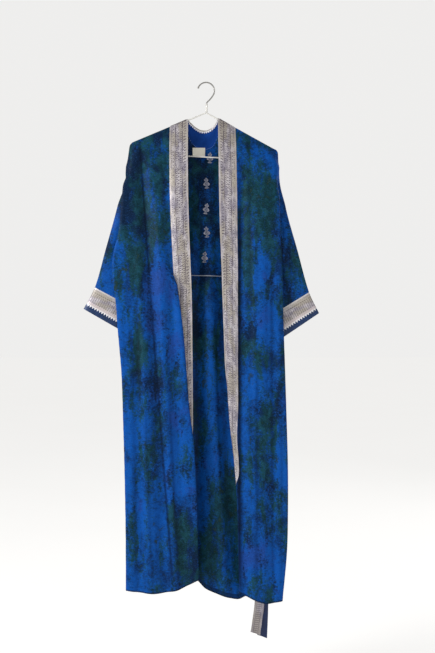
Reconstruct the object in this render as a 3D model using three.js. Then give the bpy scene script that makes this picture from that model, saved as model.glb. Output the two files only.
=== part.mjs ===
// A full-length kimono robe on a wire hanger, built from the pieces a maker cuts and sews: two fronts,
// a back, two sleeves with cuffs, a neckband in three stretches, a neck label and a sash. Each cloth
// piece is a thin wall.
// Millimetres, +Z up, -Y is the front. "Right" and "left" are the wearer's, so the right front lies at -X.
// The origin is the point inside the hook that rests on a rail.
import * as THREE from "three";

const cloth = 1.2; // wall of the silk
const seamGap = 0.3; // pieces stand this far apart at a seam
const bandWidth = 50.5; // neckband across the fronts
const cuffLength = 72; // border at the end of each sleeve

// Front-to-back places of the layers, measured from the hanger's plane.
const layer = { main: 28, turn: 11, lap: 10, band: 6, sleeve: 9.5 };

const hanger = {
  wire: 1.9, // radius
  slope: THREE.MathUtils.degToRad(25.8), // arms below level
  halfWidth: 208.5,
  bend: 16, // radius of the arm ends
  apex: 9, // radius where the arms meet
  neck: new THREE.Vector2(0, -85), // where the arms' lines cross
  tilt: THREE.MathUtils.degToRad(3.1), // the left arm hangs lower
  hookWire: 1.9,
  hookRadius: 24,
  collar: { radius: 2.9, x: 1.6, top: -60.5, bottom: -83.6 },
  tip: 3, // radius of the ball on the hook's end
};

const label = { x: -21, z: -196, width: 36, height: 26, wall: 0.8, gap: 0.6 };
const sash = { width: 28, wall: 2, x: 122, slant: 10 }; // slant: how much lower an end's left edge hangs

// ---------------------------------------------------------------- small tools

const mix = THREE.MathUtils.lerp;
const ease = (x) => THREE.MathUtils.smoothstep(x, 0, 1);

// A smooth value from a table: cubic between rows, level beyond the first and last, with slopes from
// the rows around.
function read(rows, key, at, name) {
  const up = rows[0][key] < rows.at(-1)[key] ? 1 : -1;
  if ((at - rows[0][key]) * up <= 0) return rows[0][name];
  if ((at - rows.at(-1)[key]) * up >= 0) return rows.at(-1)[name];
  const i = rows.findIndex((r) => (r[key] - at) * up > 0) - 1;
  const slope = (j) => {
    const a = rows[Math.max(j - 1, 0)];
    const b = rows[Math.min(j + 1, rows.length - 1)];
    return (b[name] - a[name]) / (b[key] - a[key]);
  };
  const span = rows[i + 1][key] - rows[i][key];
  const t = (at - rows[i][key]) / span;
  const bend = (1 - t) * slope(i) * span * t * (1 - t) - t * slope(i + 1) * span * t * (1 - t);
  const straight = rows[i + 1][name] - rows[i][name];
  return rows[i][name] + straight * t * t * (3 - 2 * t) + bend;
}

// A cubic B-spline that starts and ends on the end points of its control polygon.
function spline(points, perSpan = 10) {
  const p = [points[0], points[0], ...points, points.at(-1), points.at(-1)];
  const out = [];
  for (let i = 0; i + 3 < p.length; i++) {
    for (let j = i === 0 ? 0 : 1; j <= perSpan; j++) {
      const t = j / perSpan;
      const w = [(1 - t) ** 3, 3 * t ** 3 - 6 * t * t + 4, 3 * (t + t * t - t ** 3) + 1, t ** 3];
      const q = new THREE.Vector3();
      w.forEach((a, k) => q.addScaledVector(p[i + k], a / 6));
      out.push(q);
    }
  }
  return out;
}

// Points of a line at given distances along it.
function alongLine(line, distances) {
  const run = [0];
  for (let i = 1; i < line.length; i++) run.push(run[i - 1] + line[i].distanceTo(line[i - 1]));
  return distances(run.at(-1)).map((d) => {
    const i = Math.min(Math.max(run.findIndex((r) => r >= d), 1), run.length - 1);
    return line[i - 1].clone().lerp(line[i], (d - run[i - 1]) / (run[i] - run[i - 1]));
  });
}

// Unit normals of a grid of points, rows by columns. A round grid closes on itself across each row. On
// a seam in the middle plane they stay level, so that the walls on both sides of it end square.
function gridNormals(grid, round = false) {
  const n = grid[0].length;
  return grid.map((row, i) =>
    row.map((_, j) => {
      const left = round ? row[(j + n - 1) % n] : row[Math.max(j - 1, 0)];
      const right = round ? row[(j + 1) % n] : row[Math.min(j + 1, n - 1)];
      const above = grid[Math.max(i - 1, 0)][j];
      const below = grid[Math.min(i + 1, grid.length - 1)][j];
      const normal = right.clone().sub(left).cross(below.clone().sub(above));
      if (Math.abs(row[j].y) <= seamGap / 2 + 1e-6) normal.y = 0;
      return normal.normalize();
    }),
  );
}

// A closed wall of even thickness about a grid of points.
function wall(grid, thickness, round = false, normals = gridNormals(grid, round)) {
  const rows = grid.length;
  const columns = grid[0].length;
  const position = [];
  for (const side of [0.5, -0.5])
    grid.forEach((row, i) =>
      row.forEach((p, j) => {
        const moved = p.clone().addScaledVector(normals[i][j], side * thickness);
        position.push(...moved.toArray());
      }),
    );
  const index = [];
  const quad = (a, b, c, d) => index.push(a, b, c, a, c, d);
  const id = (side, i, j) => side * rows * columns + i * columns + (j % columns);
  const across = round ? columns : columns - 1;
  for (let i = 0; i < rows - 1; i++)
    for (let j = 0; j < across; j++) {
      quad(id(0, i, j), id(0, i, j + 1), id(0, i + 1, j + 1), id(0, i + 1, j));
      quad(id(1, i, j), id(1, i + 1, j), id(1, i + 1, j + 1), id(1, i, j + 1));
    }
  for (let j = 0; j < across; j++) {
    quad(id(0, 0, j), id(1, 0, j), id(1, 0, j + 1), id(0, 0, j + 1));
    quad(id(0, rows - 1, j), id(0, rows - 1, j + 1), id(1, rows - 1, j + 1), id(1, rows - 1, j));
  }
  for (let i = 0; i < rows - 1 && !round; i++) {
    quad(id(0, i, 0), id(0, i + 1, 0), id(1, i + 1, 0), id(1, i, 0));
    const end = columns - 1;
    quad(id(0, i, end), id(1, i, end), id(1, i + 1, end), id(0, i + 1, end));
  }
  return outwards(position, index);
}

// A geometry with its faces turned outwards.
function outwards(position, index) {
  let volume = 0;
  const at = (k) => new THREE.Vector3().fromArray(position, 3 * k);
  for (let i = 0; i < index.length; i += 3)
    volume += at(index[i]).dot(at(index[i + 1]).cross(at(index[i + 2])));
  if (volume < 0) index.reverse();
  const geometry = new THREE.BufferGeometry();
  geometry.setAttribute("position", new THREE.Float32BufferAttribute(position, 3));
  geometry.setIndex(index);
  return geometry;
}

// A round bar along a line in the hanger's plane. A closed line gives a ring, an open one gets flat
// ends. radii has one radius for each point.
function rod(line, radii, sides, closed) {
  const n = line.length;
  const grid = line.map((p, i) => {
    const before = closed ? line[(i + n - 1) % n] : line[Math.max(i - 1, 0)];
    const after = closed ? line[(i + 1) % n] : line[Math.min(i + 1, n - 1)];
    const along = after.clone().sub(before).normalize();
    const side = new THREE.Vector3(-along.z, 0, along.x);
    return Array.from({ length: sides }, (_, j) => {
      const a = (2 * Math.PI * j) / sides;
      const out = side.clone().multiplyScalar(Math.cos(a) * radii[i]);
      return p.clone().add(out).add(new THREE.Vector3(0, Math.sin(a) * radii[i], 0));
    });
  });
  const position = grid.flat().flatMap((p) => p.toArray());
  const index = [];
  const id = (i, j) => (i % n) * sides + (j % sides);
  for (let i = 0; i < (closed ? n : n - 1); i++)
    for (let j = 0; j < sides; j++) {
      index.push(id(i, j), id(i + 1, j), id(i + 1, j + 1));
      index.push(id(i, j), id(i + 1, j + 1), id(i, j + 1));
    }
  for (let j = 1; j < sides - 1 && !closed; j++)
    index.push(id(0, 0), id(0, j), id(0, j + 1), id(n - 1, 0), id(n - 1, j + 1), id(n - 1, j));
  return outwards(position, index);
}

// ---------------------------------------------------------------- hanger

// A point of the hanger's own level frame, measured from its neck, turned by its tilt.
function hung(x, z) {
  const c = Math.cos(hanger.tilt);
  const s = Math.sin(hanger.tilt);
  return new THREE.Vector3(hanger.neck.x + x * c + z * s, 0, hanger.neck.y - x * s + z * c);
}

const bendX = hanger.halfWidth - hanger.bend;
const bendZ = -bendX * Math.tan(hanger.slope) - hanger.bend / Math.cos(hanger.slope);
const barZ = bendZ - hanger.bend;

// Arc of the frame's line in the hanger's level frame.
function arc(x, z, radius, from, to, steps) {
  return Array.from({ length: steps + 1 }, (_, i) => {
    const a = mix(from, to, i / steps);
    return hung(x + radius * Math.cos(a), z + radius * Math.sin(a));
  });
}

// The closed line of arms and bar: apex, left arm end, bar, right arm end.
function frameLine() {
  const steep = Math.PI / 2 - hanger.slope;
  const apexZ = -hanger.apex / Math.cos(hanger.slope);
  const arms = 6;
  const bar = 10;
  const line = arc(0, apexZ, hanger.apex, Math.PI - steep, steep, 5);
  const leftBend = arc(bendX, bendZ, hanger.bend, steep, -Math.PI / 2, 9);
  const rightBend = arc(-bendX, bendZ, hanger.bend, (3 * Math.PI) / 2, Math.PI - steep, 9);
  const join = (a, b, n) =>
    Array.from({ length: n }, (_, i) => a.clone().lerp(b, (i + 1) / (n + 1)));
  line.push(...join(line.at(-1), leftBend[0], arms), ...leftBend);
  line.push(...join(leftBend.at(-1), rightBend[0], bar), ...rightBend);
  line.push(...join(rightBend.at(-1), line[0], arms));
  return line;
}

// The hook: a ball, a round crook whose inner top is the origin, then an S down into the collar. Its
// line and the radius at each point.
function hook() {
  const { hookRadius, hookWire, tip, collar } = hanger;
  const centre = hookWire - hookRadius;
  const start = 165;
  const onCrook = (degrees) => {
    const a = THREE.MathUtils.degToRad(degrees);
    return new THREE.Vector3(hookRadius * Math.cos(a), 0, centre + hookRadius * Math.sin(a));
  };
  const line = [];
  const radii = [];
  for (const along of [-0.85, -0.5, 0, 0.5, 0.77]) {
    line.push(onCrook(start - THREE.MathUtils.radToDeg((along * tip) / hookRadius)));
    radii.push(tip * Math.sqrt(1 - along ** 2));
  }
  for (let degrees = start - 12.5; degrees >= -35; degrees -= 12.5) line.push(onCrook(degrees));
  const stem = [
    { x: 15.2, z: -42.2 },
    { x: 10.6, z: -47.6 },
    { x: 6.4, z: -51.6 },
    { x: 3.4, z: -54.8 },
    { x: 1.8, z: -57.8 },
    { x: collar.x, z: collar.top + seamGap },
  ];
  line.push(...stem.map(({ x, z }) => new THREE.Vector3(x, 0, z)));
  while (radii.length < line.length) radii.push(hookWire);
  return { line, radii };
}

// Top of the cloth over an arm at x: the wire's line, raised by the wire, the gap and half the wall.
const wireGap = 0.4;
const onWire = hanger.wire + wireGap + cloth / 2;
function shoulderZ(x) {
  const slope = hanger.slope + (x > hanger.neck.x ? hanger.tilt : -hanger.tilt);
  const out = Math.abs(x - hanger.neck.x);
  return hanger.neck.y - out * Math.tan(slope) + onWire / Math.cos(slope);
}

// ---------------------------------------------------------------- fronts and back

// How each front stands at each height, as distances out from the middle plane.
// edge: the neckband's free edge. seam: the neckband's seam. lap: the fold of the front that lies over
// the band.
const rightOpening = [
  { z: -120, edge: 51.5, seam: 102, lap: 102 },
  { z: -277, edge: 51, seam: 101.5, lap: 101.5 },
  { z: -397, edge: 48.5, seam: 99, lap: 99 },
  { z: -516, edge: 44, seam: 94.7, lap: 91.2 },
  { z: -619, edge: 40.5, seam: 91, lap: 78.7 },
  { z: -707, edge: 39.3, seam: 89.8, lap: 67.5 },
  { z: -827, edge: 38.2, seam: 88.7, lap: 57.6 },
  { z: -944, edge: 37.3, seam: 87.8, lap: 47.9 },
  { z: -1018, edge: 37.5, seam: 88, lap: 38 },
  { z: -1132, edge: 40, seam: 90.5, lap: 31.3 },
  { z: -1246, edge: 42, seam: 92.5, lap: 27 },
  { z: -1448, edge: 42, seam: 92.5, lap: 21.5 },
];

// roll: the fold that the band turns back at. shown: cloth of the band from the bend of that fold to its
// seam, below 0 when the fold is in the silk beside it.
const leftOpening = [
  { z: -120, roll: 34.2, shown: 50.5 },
  { z: -397, roll: 39, shown: 50.5 },
  { z: -516, roll: 43.6, shown: 47.3 },
  { z: -619, roll: 46.7, shown: 44.5 },
  { z: -707, roll: 49.9, shown: 43.2 },
  { z: -827, roll: 54.3, shown: 39.4 },
  { z: -944, roll: 65.2, shown: 33.4 },
  { z: -1049, roll: 79, shown: 25.3 },
  { z: -1132, roll: 86.9, shown: 19.5 },
  { z: -1180, roll: 89.5, shown: 0 },
  { z: -1274, roll: 92.9, shown: -12 },
  { z: -1451, roll: 97, shown: -22 },
];

// Outer side of each half of the body. seam: shoulder end, armhole and side seam. fold: where the
// panels turn back.
const rightSide = [
  { z: -168, seam: 206, fold: 206 },
  { z: -172.5, seam: 213.8, fold: 213.8 },
  { z: -179, seam: 218.2, fold: 218.2 },
  { z: -188, seam: 220, fold: 220 },
  { z: -222, seam: 224.5, fold: 224.5 },
  { z: -248.5, seam: 229.4, fold: 229.4 },
  { z: -307, seam: 219.2, fold: 234.6 },
  { z: -382, seam: 206, fold: 241 },
  { z: -440, seam: 195.6, fold: 249 },
  { z: -482, seam: 188, fold: 260 },
  { z: -528, seam: 177, fold: 264.5 },
  { z: -575, seam: 172.5, fold: 261 },
  { z: -640, seam: 168, fold: 253 },
  { z: -700, seam: 169.5, fold: 249 },
  { z: -745, seam: 171, fold: 245 },
  { z: -835, seam: 174, fold: 237.5 },
  { z: -984, seam: 181, fold: 232.5 },
  { z: -1106, seam: 187, fold: 229 },
  { z: -1274, seam: 195, fold: 226 },
  { z: -1448, seam: 203, fold: 225 },
];
const leftSide = [
  { z: -189.4, seam: 195.5, fold: 195.5 },
  { z: -192.5, seam: 201.2, fold: 201.2 },
  { z: -199, seam: 205.3, fold: 205.3 },
  { z: -207, seam: 206.3, fold: 206.3 },
  { z: -226, seam: 207, fold: 207 },
  { z: -248.5, seam: 209.5, fold: 209.5 },
  { z: -323, seam: 196, fold: 207 },
  { z: -408, seam: 181, fold: 208.5 },
  { z: -493.6, seam: 165.3, fold: 213 },
  { z: -550, seam: 154, fold: 215.5 },
  { z: -620, seam: 151, fold: 216.6 },
  { z: -690, seam: 152, fold: 218 },
  { z: -765, seam: 155, fold: 220.5 },
  { z: -855, seam: 162, fold: 223.5 },
  { z: -935, seam: 170, fold: 226 },
  { z: -1106, seam: 186, fold: 230.5 },
  { z: -1277, seam: 198, fold: 230 },
  { z: -1351, seam: 200, fold: 227 },
  { z: -1478, seam: 197, fold: 215 },
];

// Heights of the hems, by distance out from the middle plane; the back's by x.
const rightHem = [
  { out: 20, z: -1417 },
  { out: 34, z: -1424 },
  { out: 51, z: -1434 },
  { out: 74, z: -1444 },
  { out: 97, z: -1451 },
  { out: 131, z: -1456 },
  { out: 180, z: -1454 },
  { out: 227, z: -1447.5 },
];
const leftHem = [
  { out: 97, z: -1453 },
  { out: 108, z: -1461 },
  { out: 125, z: -1468.5 },
  { out: 148, z: -1478.5 },
  { out: 174, z: -1484.5 },
  { out: 197, z: -1481 },
  { out: 216, z: -1477.5 },
];
const backHem = [
  { x: -226, z: -1447.5 },
  { x: -160, z: -1446 },
  { x: -80, z: -1436 },
  { x: -30, z: -1433 },
  { x: -2, z: -1456 },
  { x: 35, z: -1471 },
  { x: 70, z: -1482 },
  { x: 98, z: -1486 },
  { x: 122, z: -1473 },
  { x: 160, z: -1476 },
  { x: 216, z: -1477.5 },
];

// The back's neckline between the shoulder points, and the back's own edge, which the neckband covers
// and stands above.
const neckline = [
  { x: -51.5, z: -103.4 },
  { x: -50.6, z: -103.9 },
  { x: -49.5, z: -105.6 },
  { x: -46, z: -110.5 },
  { x: -38, z: -117.5 },
  { x: -23, z: -128.5 },
  { x: -5, z: -132.5 },
  { x: 12, z: -128.5 },
  { x: 24, z: -118.5 },
  { x: 29, z: -111.5 },
  { x: 32.5, z: -103.6 },
  { x: 34.5, z: -100.7 },
];
const neckTurn = { height: 7, from: -49.6, to: 32.6, fade: 10 };
const backEdge = neckline.map(({ x, z }) => {
  const { height, from, to, fade } = neckTurn;
  return { x, z: z - height * ease((x - from) / fade) * ease((to - x) / fade) };
});

// Soft folds of each panel. x at the shoulder, the hip and the hem; depth towards the back; half
// width; the heights between which the fold fades in and out.
const rightFolds = [
  { shoulder: -186, hip: -146, hem: -112, depth: 7, width: 17, from: -150, to: -1500 },
  { shoulder: -215, hip: -196, hem: -190, depth: 5, width: 14, from: -640, to: -1500 },
  { shoulder: -172, hip: -168, hem: -150, depth: -5, width: 20, from: -560, to: -1500 },
  { shoulder: -140, hip: -118, hem: -84, depth: -6, width: 18, from: -260, to: -1500 },
  { shoulder: -113, hip: -88, hem: -56, depth: 5, width: 13, from: -150, to: -1500 },
];
const leftFolds = [
  { shoulder: 103, hip: 101, hem: 112, depth: 6, width: 12, from: -180, to: -1500 },
  { shoulder: 118, hip: 126, hem: 138, depth: 4, width: 20, from: -150, to: -900 },
  { shoulder: 160, hip: 160, hem: 158, depth: -5, width: 30, from: -260, to: -1500 },
  { shoulder: 188, hip: 192, hem: 190, depth: 4, width: 17, from: -520, to: -1500 },
];
const backFolds = [
  { shoulder: -190, hip: -176, hem: -172, depth: 6, width: 22, from: -260, to: -1500 },
  { shoulder: -128, hip: -124, hem: -120, depth: -5, width: 22, from: -240, to: -1500 },
  { shoulder: -70, hip: -72, hem: -74, depth: 5, width: 20, from: -300, to: -1500 },
  { shoulder: -22, hip: -21, hem: -24, depth: 8, width: 17, from: -420, to: -1500 },
  { shoulder: 4, hip: 8, hem: 56, depth: -9, width: 28, from: -200, to: -1500 },
  { shoulder: 44, hip: 52, hem: 100, depth: 4, width: 20, from: -400, to: -1500 },
  { shoulder: 104, hip: 112, hem: 132, depth: -4, width: 24, from: -240, to: -1500 },
  { shoulder: 168, hip: 172, hem: 180, depth: 5, width: 22, from: -260, to: -1500 },
];
const foldStations = { shoulder: -200, hip: -800, hem: -1450 };
const foldFade = 130; // height over which a fold fades

// Where a fold runs at a height: a parabola through its three places.
function foldX(fold, z) {
  const { shoulder: a, hip: b, hem: c } = foldStations;
  return (
    (fold.shoulder * (z - b) * (z - c)) / ((a - b) * (a - c)) +
    (fold.hip * (z - a) * (z - c)) / ((b - a) * (b - c)) +
    (fold.hem * (z - a) * (z - b)) / ((c - a) * (c - b))
  );
}

// Depth of all of a panel's folds at a place.
function foldDepth(folds, x, z) {
  return folds.reduce((sum, fold) => {
    const t = (x - foldX(fold, z)) / fold.width;
    const fade = ease((fold.from - z) / foldFade) * ease((z - fold.to) / foldFade + 0.5);
    return sum + fold.depth * Math.exp(-t * t) * fade;
  }, 0);
}

// Half the armhole's opening, front to back, at a share of the way down it.
const armholeOpen = (share) => layer.sleeve * Math.sqrt(Math.max(0, 1 - (2 * share - 1) ** 4));

// The two sides: end is the shoulder's end, tip its height, top and under the armhole's two ends.
const side = (sign, rows, top, under) => {
  const end = rows[0].seam;
  return { sign, rows, end, tip: shoulderZ(sign * end), top, under };
};
const sideOf = {
  right: side(-1, rightSide, -248.5, -482),
  left: side(1, leftSide, -248.5, -493.6),
};
const armholeSteps = 6;
const rowsOverWire = [0, 1.6, 3.2, 4.7];
const rowsToArmhole = [0.22, 0.46, 0.73, 1];
const rowsToHem = [0.055, 0.12, 0.19, 0.25, 0.31, 0.4, 0.54, 0.69, 0.85, 1];

// Depths of the rows below the shoulder along a side's own seam.
function rowDepths(side, hem) {
  const top = side.tip - side.top;
  const under = side.tip - side.under;
  const total = side.tip - hem;
  const depths = [...rowsOverWire, ...rowsToArmhole.map((f) => f * top)];
  for (let i = 1; i <= armholeSteps; i++)
    depths.push(mix(top, under, (1 - Math.cos((Math.PI * i) / armholeSteps)) / 2));
  depths.push(...rowsToHem.map((f) => mix(under, total, f)));
  return depths;
}

// Distances of the outer part's control points from the shoulder's end, where they spread along it.
const overShoulder = [60, 48, 36, 26, 18, 11, 5, 0.4, 0];
const spreadFade = 60; // cloth below the shoulder over which they gather to the fold

// A side's seam at a height: straight down the armhole.
function seamAt(side, z) {
  const share = (side.top - z) / (side.top - side.under);
  const [a, b] = [side.top, side.under].map((end) => read(side.rows, "z", end, "seam"));
  return share > 0 && share < 1 ? mix(a, b, share) : read(side.rows, "z", z, "seam");
}

// Control points of a panel's outer part at a height: [distance out, distance from the hanger's
// plane], from the main layer round the fold to the seam. d is the depth below the shoulder.
function outerPart(side, z, d, tuck) {
  const seam = seamAt(side, z);
  const fold = Math.max(read(side.rows, "z", z, "fold") - tuck, seam);
  const back = fold - seam;
  const share = (side.top - z) / (side.top - side.under);
  const open = share > 0 && share < 1 ? armholeOpen(share) : 0;
  const inner = layer.main - layer.turn;
  const m = layer.main;
  const end = seamGap / 2 + open;
  const folded = [
    [fold - 30, m],
    [fold - 12, m],
    [fold + 3, m],
    [fold + 3, inner],
    [fold - 12, inner],
    [mix(seam, fold, 0.35), inner],
    [seam - (open ? 0 : 2), inner],
    [seam, mix(inner, end, 0.5)],
    [seam, end],
  ];
  const wide = Math.max(12, end + 5);
  const closed = [
    [fold - 40, m],
    [fold - 26, m],
    [fold - 15, m - 2],
    [fold - 8, m - 6],
    [fold - 4, m - 11],
    [fold - 1.5, wide],
    [fold, mix(wide, end, 0.33)],
    [seam, mix(wide, end, 0.67)],
    [seam, end],
  ];
  const turned = ease(back / 14);
  const spread = 1 - ease(d / spreadFade);
  return closed.map(([x, y], i) => {
    const shaped = [mix(x, folded[i][0], turned), mix(y, folded[i][1], turned)];
    return [mix(shaped[0], fold - overShoulder[i], spread), shaped[1]];
  });
}

// Control points of the right front's opening: the band from its free edge to its seam, and a lap of
// the front over it.
function rightInner(z) {
  const { main: m, lap, band } = layer;
  const [edge, seam, over] = ["edge", "seam", "lap"].map((k) => read(rightOpening, "z", z, k));
  const under = m - lap;
  const low = under - band;
  const folded = [
    [edge, low],
    [mix(edge, seam, 0.35), low],
    [seam - 14, low],
    [seam + 4, low],
    [seam + 11, low],
    [seam + 11, under],
    [mix(seam + 11, over - 3, 0.35), under],
    [mix(seam + 11, over - 3, 0.7), under],
    [over - 3, under],
    [over - 3, m],
    [over + 12, m],
    [over + 30, m],
  ];
  const lapped = ease((seam - over) / 9);
  return folded.map(([x, y], i) => {
    const flat = i < 3 ? x : mix(seam - 14, seam + 36, (i - 2) / (folded.length - 3));
    return [mix(flat, x, lapped), mix(m, y, lapped)];
  });
}

// Control points of the left front's opening, which rolls back on itself further down.
function leftInner(z) {
  const { main: m, lap } = layer;
  const [roll, shown] = ["roll", "shown"].map((k) => read(leftOpening, "z", z, k));
  const hidden = Math.max(bandWidth - shown, 0);
  const under = m - lap;
  const folded = [
    [roll + Math.max(hidden - 8, 2), under],
    [roll + Math.max(0.6 * hidden - 5, 1.5), under],
    [roll + Math.max(0.25 * hidden, 1), under],
    [roll - 3, under],
    [roll - 3, m],
    [roll + 10, m],
    [roll + 24, m],
    [roll + 44, m],
  ];
  const rolled = ease(hidden / 24);
  const flat = [0, 3, 6, 9, 14, 22, 34, 50];
  return folded.map(([x, y], i) => [mix(roll + flat[i], x, rolled), mix(m, y, rolled)]);
}

// Places on a section: fixed steps from the inner edge, fixed steps from the outer seam, and an even
// spread between.
const outerSteps = [0, 3, 9, 18, 29, 42, 56, 70, 84, 98];
const bandSteps = [0, 11, 22, 33, 43, bandWidth - seamGap / 2];
const frontSteps = [bandWidth + seamGap / 2, 56, 62, 69, 77, 86, 95, 106, 118];
const middleSteps = 6;
function places(inner, length) {
  const start = inner.at(-1);
  const end = length - outerSteps.at(-1);
  const between = Array.from({ length: middleSteps }, (_, i) =>
    mix(start, end, (i + 1) / (middleSteps + 1)),
  );
  return [...inner, ...between, ...outerSteps.toReversed().map((s) => length - s)];
}

// Rows slant with the shoulder, so that the band's level width takes more of them near the top.
const slant = { gain: 0.13, from: 150, to: 600 };
const alongRow = (d) => 1 + slant.gain * (1 - ease((d - slant.from) / (slant.to - slant.from)));

// A row of a panel, pulled in over the wire near the shoulder. reach is the distance it would stand
// off the plane.
const lean = 45; // the cloth stands off the hanger over about this height
const robeEnds = { top: -120, bottom: -1470, cloth: 1300 }; // heights and length that clear all rows
function offPlane(d, reach) {
  const most = Math.max(reach - seamGap / 2, 0);
  const round = Math.min(onWire, most);
  const quarter = (onWire * Math.PI) / 2;
  if (d < quarter) return seamGap / 2 + round * Math.sin(d / onWire);
  return seamGap / 2 + round + (most - round) * (1 - Math.exp((quarter - d) / lean));
}
const dropOver = (d) => {
  const quarter = (onWire * Math.PI) / 2;
  return d < quarter ? onWire * (1 - Math.cos(d / onWire)) : d - quarter + onWire;
};

// The grid of one front with its band, both from the same sections.
function frontGrids(side, inner, hemRows, folds) {
  const polygon = (z, d) => {
    const a = inner(z);
    const c = outerPart(side, z, d, 0);
    const from = a.at(-1)[0];
    const to = c[0][0];
    const b = [0.2, 0.4, 0.6, 0.8].map((f) => [mix(from, to, f), layer.main]);
    return [...a, ...b, ...c];
  };
  const top = polygon(robeEnds.top, 0);
  const bottom = polygon(robeEnds.bottom, robeEnds.cloth);
  const shoulder = top.map(([out]) => shoulderZ(side.sign * Math.min(out, side.end)));
  const hem = bottom.map(([out]) => read(hemRows, "out", out, "z"));
  const depths = rowDepths(side, hem.at(-1));
  const whole = dropOver(depths.at(-1));
  const sections = depths.map((d) => {
    const points = shoulder.map((start, k) => {
      const z = mix(start, hem[k], dropOver(d) / whole);
      const [out, reach] = polygon(z, d)[k];
      return new THREE.Vector3(side.sign * out, -reach, z);
    });
    const line = spline(points);
    return line.map((p) => {
      const weight = (p.y / layer.main) ** 2;
      const reach = -p.y - weight * foldDepth(folds, p.x, p.z);
      return new THREE.Vector3(p.x, -offPlane(d, reach), p.z);
    });
  });
  const both = sections.map((line, i) => {
    const [band, front] = [bandSteps, frontSteps].map((steps) =>
      steps.map((s) => s * alongRow(depths[i])),
    );
    return alongLine(line, (length) => [...band, ...places(front, length)]);
  });
  const normals = gridNormals(both);
  const n = bandSteps.length;
  for (const row of normals) row[n - 1] = row[n] = row[n - 1].clone().add(row[n]).normalize();
  const cut = (grid, from, to) => grid.map((row) => row.slice(from, to));
  return {
    band: wall(cut(both, 0, n), cloth, false, cut(normals, 0, n)),
    front: wall(cut(both, n), cloth, false, cut(normals, n)),
  };
}

// Length of cloth, from the shoulder line down over the wire, that the neckline cuts away at x.
function cutAway(x, rows = neckline) {
  if (x <= rows[0].x || x >= rows.at(-1).x) return 0;
  const drop = Math.max(shoulderZ(x) - read(rows, "x", x, "z"), 0);
  return drop < onWire ? onWire * Math.acos(1 - drop / onWire) : drop - onWire + (onWire * Math.PI) / 2;
}

// Where the back stands off the hanger's plane before its folds: nearer in the middle, where nothing
// lies behind it.
const hollow = { x: 35, width: 90, depth: 5 };
const backReach = (x) =>
  layer.main - hollow.depth * Math.exp(-(((x - hollow.x) / hollow.width) ** 2));
const backLength = (x) => shoulderZ(x) - read(backHem, "x", x, "z");

// A point of the back's middle at x, s millimetres down from the shoulder line, moved out by a little
// for an overlay.
function backAt(x, s, out = 0) {
  const place = (u, v) => {
    const z = shoulderZ(u) - (backLength(u) * dropOver(v)) / dropOver(backLength(u));
    const reach = backReach(u);
    return new THREE.Vector3(u, offPlane(v, reach + foldDepth(backFolds, u, z)), z);
  };
  const p = place(x, s);
  if (!out) return p;
  const across = place(x + 1, s).sub(place(x - 1, s));
  const down = place(x, s + 0.5).sub(place(x, Math.max(s - 0.5, 0)));
  return p.addScaledVector(across.cross(down).normalize(), out);
}

const backTuck = 3; // the back's outer folds stay behind the fronts'
const backMiddle = [-150, -115, -85, -62, -45, -30, -15, 0, 12, 24, 38, 55, 78, 105, 135];
const middleEnd = { x: 130, fade: 40 }; // where the back's middle part gives way to its outer parts

// The middle of the back has its columns at these places, closest at the ends of the neckline.
const backColumns = [
  -96, -74, -60, -51.5, -50.6, -49.5, -46, -38, -26, -12, 2, 14, 24, 29, 32.5, 34.5, 46, 62, 82, 104,
];

// How far along a section its middle part passes x.
function lengthTo(line, x) {
  let i = Math.floor(line.length / 2);
  while (line[i].x > x) i--;
  while (line[i + 1].x < x) i++;
  const before = line.slice(1, i + 1).reduce((sum, p, k) => sum + p.distanceTo(line[k]), 0);
  const share = (x - line[i].x) / (line[i + 1].x - line[i].x);
  return before + line[i + 1].distanceTo(line[i]) * share;
}

// The back's grid: its sections run from the right side seam to the left.
function backGrid() {
  const { right, left } = sideOf;
  const polygon = (z, d) => {
    const half = (side) =>
      outerPart(side, z, d, backTuck).map(([out, reach]) => [side.sign * out, reach]);
    return [...half(right).toReversed(), ...backMiddle.map((x) => [x, layer.main]), ...half(left)];
  };
  const edge = (x) => THREE.MathUtils.clamp(x, -right.end, left.end);
  const across = polygon(robeEnds.top, 0).map(([x]) => x);
  const top = across.map((x) => shoulderZ(edge(x)));
  const bottom = polygon(robeEnds.bottom, robeEnds.cloth).map(([x]) => read(backHem, "x", x, "z"));
  const depths = [rowDepths(right, bottom[0]), rowDepths(left, bottom.at(-1))];
  const share = (x) => (edge(x) + right.end) / (left.end + right.end);
  const whole = (t) => mix(depths[0].at(-1), depths[1].at(-1), t);
  return depths[0].map((_, i) => {
    const depth = (t) => mix(depths[0][i], depths[1][i], t);
    const points = top.map((start, k) => {
      const t = share(across[k]);
      const d = depth(t);
      const z = mix(start, bottom[k], dropOver(d) / dropOver(whole(t)));
      const [x, reach] = polygon(z, d)[k];
      return new THREE.Vector3(x, reach, z);
    });
    const line = spline(points).map((p) => {
      const d = depth(share(p.x));
      const weight = (p.y / layer.main) ** 2;
      const stand = foldDepth(backFolds, p.x, p.z) + backReach(p.x) - layer.main;
      const outer = new THREE.Vector3(p.x, offPlane(d, p.y + weight * stand), p.z);
      const middle = ease((middleEnd.x - Math.abs(p.x)) / middleEnd.fade);
      if (middle === 0) return outer;
      const cut = cutAway(p.x, backEdge);
      const length = backLength(p.x);
      const part = (d / whole(share(p.x))) * length;
      const down = cut + mix(d, part, ease(d / spreadFade)) * (1 - cut / length);
      return outer.lerp(backAt(p.x, down), middle);
    });
    const middle = backColumns.map((x) => lengthTo(line, x));
    const bridge = (a, b) => [0.25, 0.5, 0.75].map((f) => mix(a, b, f));
    return alongLine(line, (length) => [
      ...outerSteps,
      ...bridge(outerSteps.at(-1), middle[0]),
      ...middle,
      ...bridge(middle.at(-1), length - outerSteps.at(-1)),
      ...outerSteps.toReversed().map((s) => length - s),
    ]);
  });
}

// ---------------------------------------------------------------- neckband at the back, label

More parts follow.
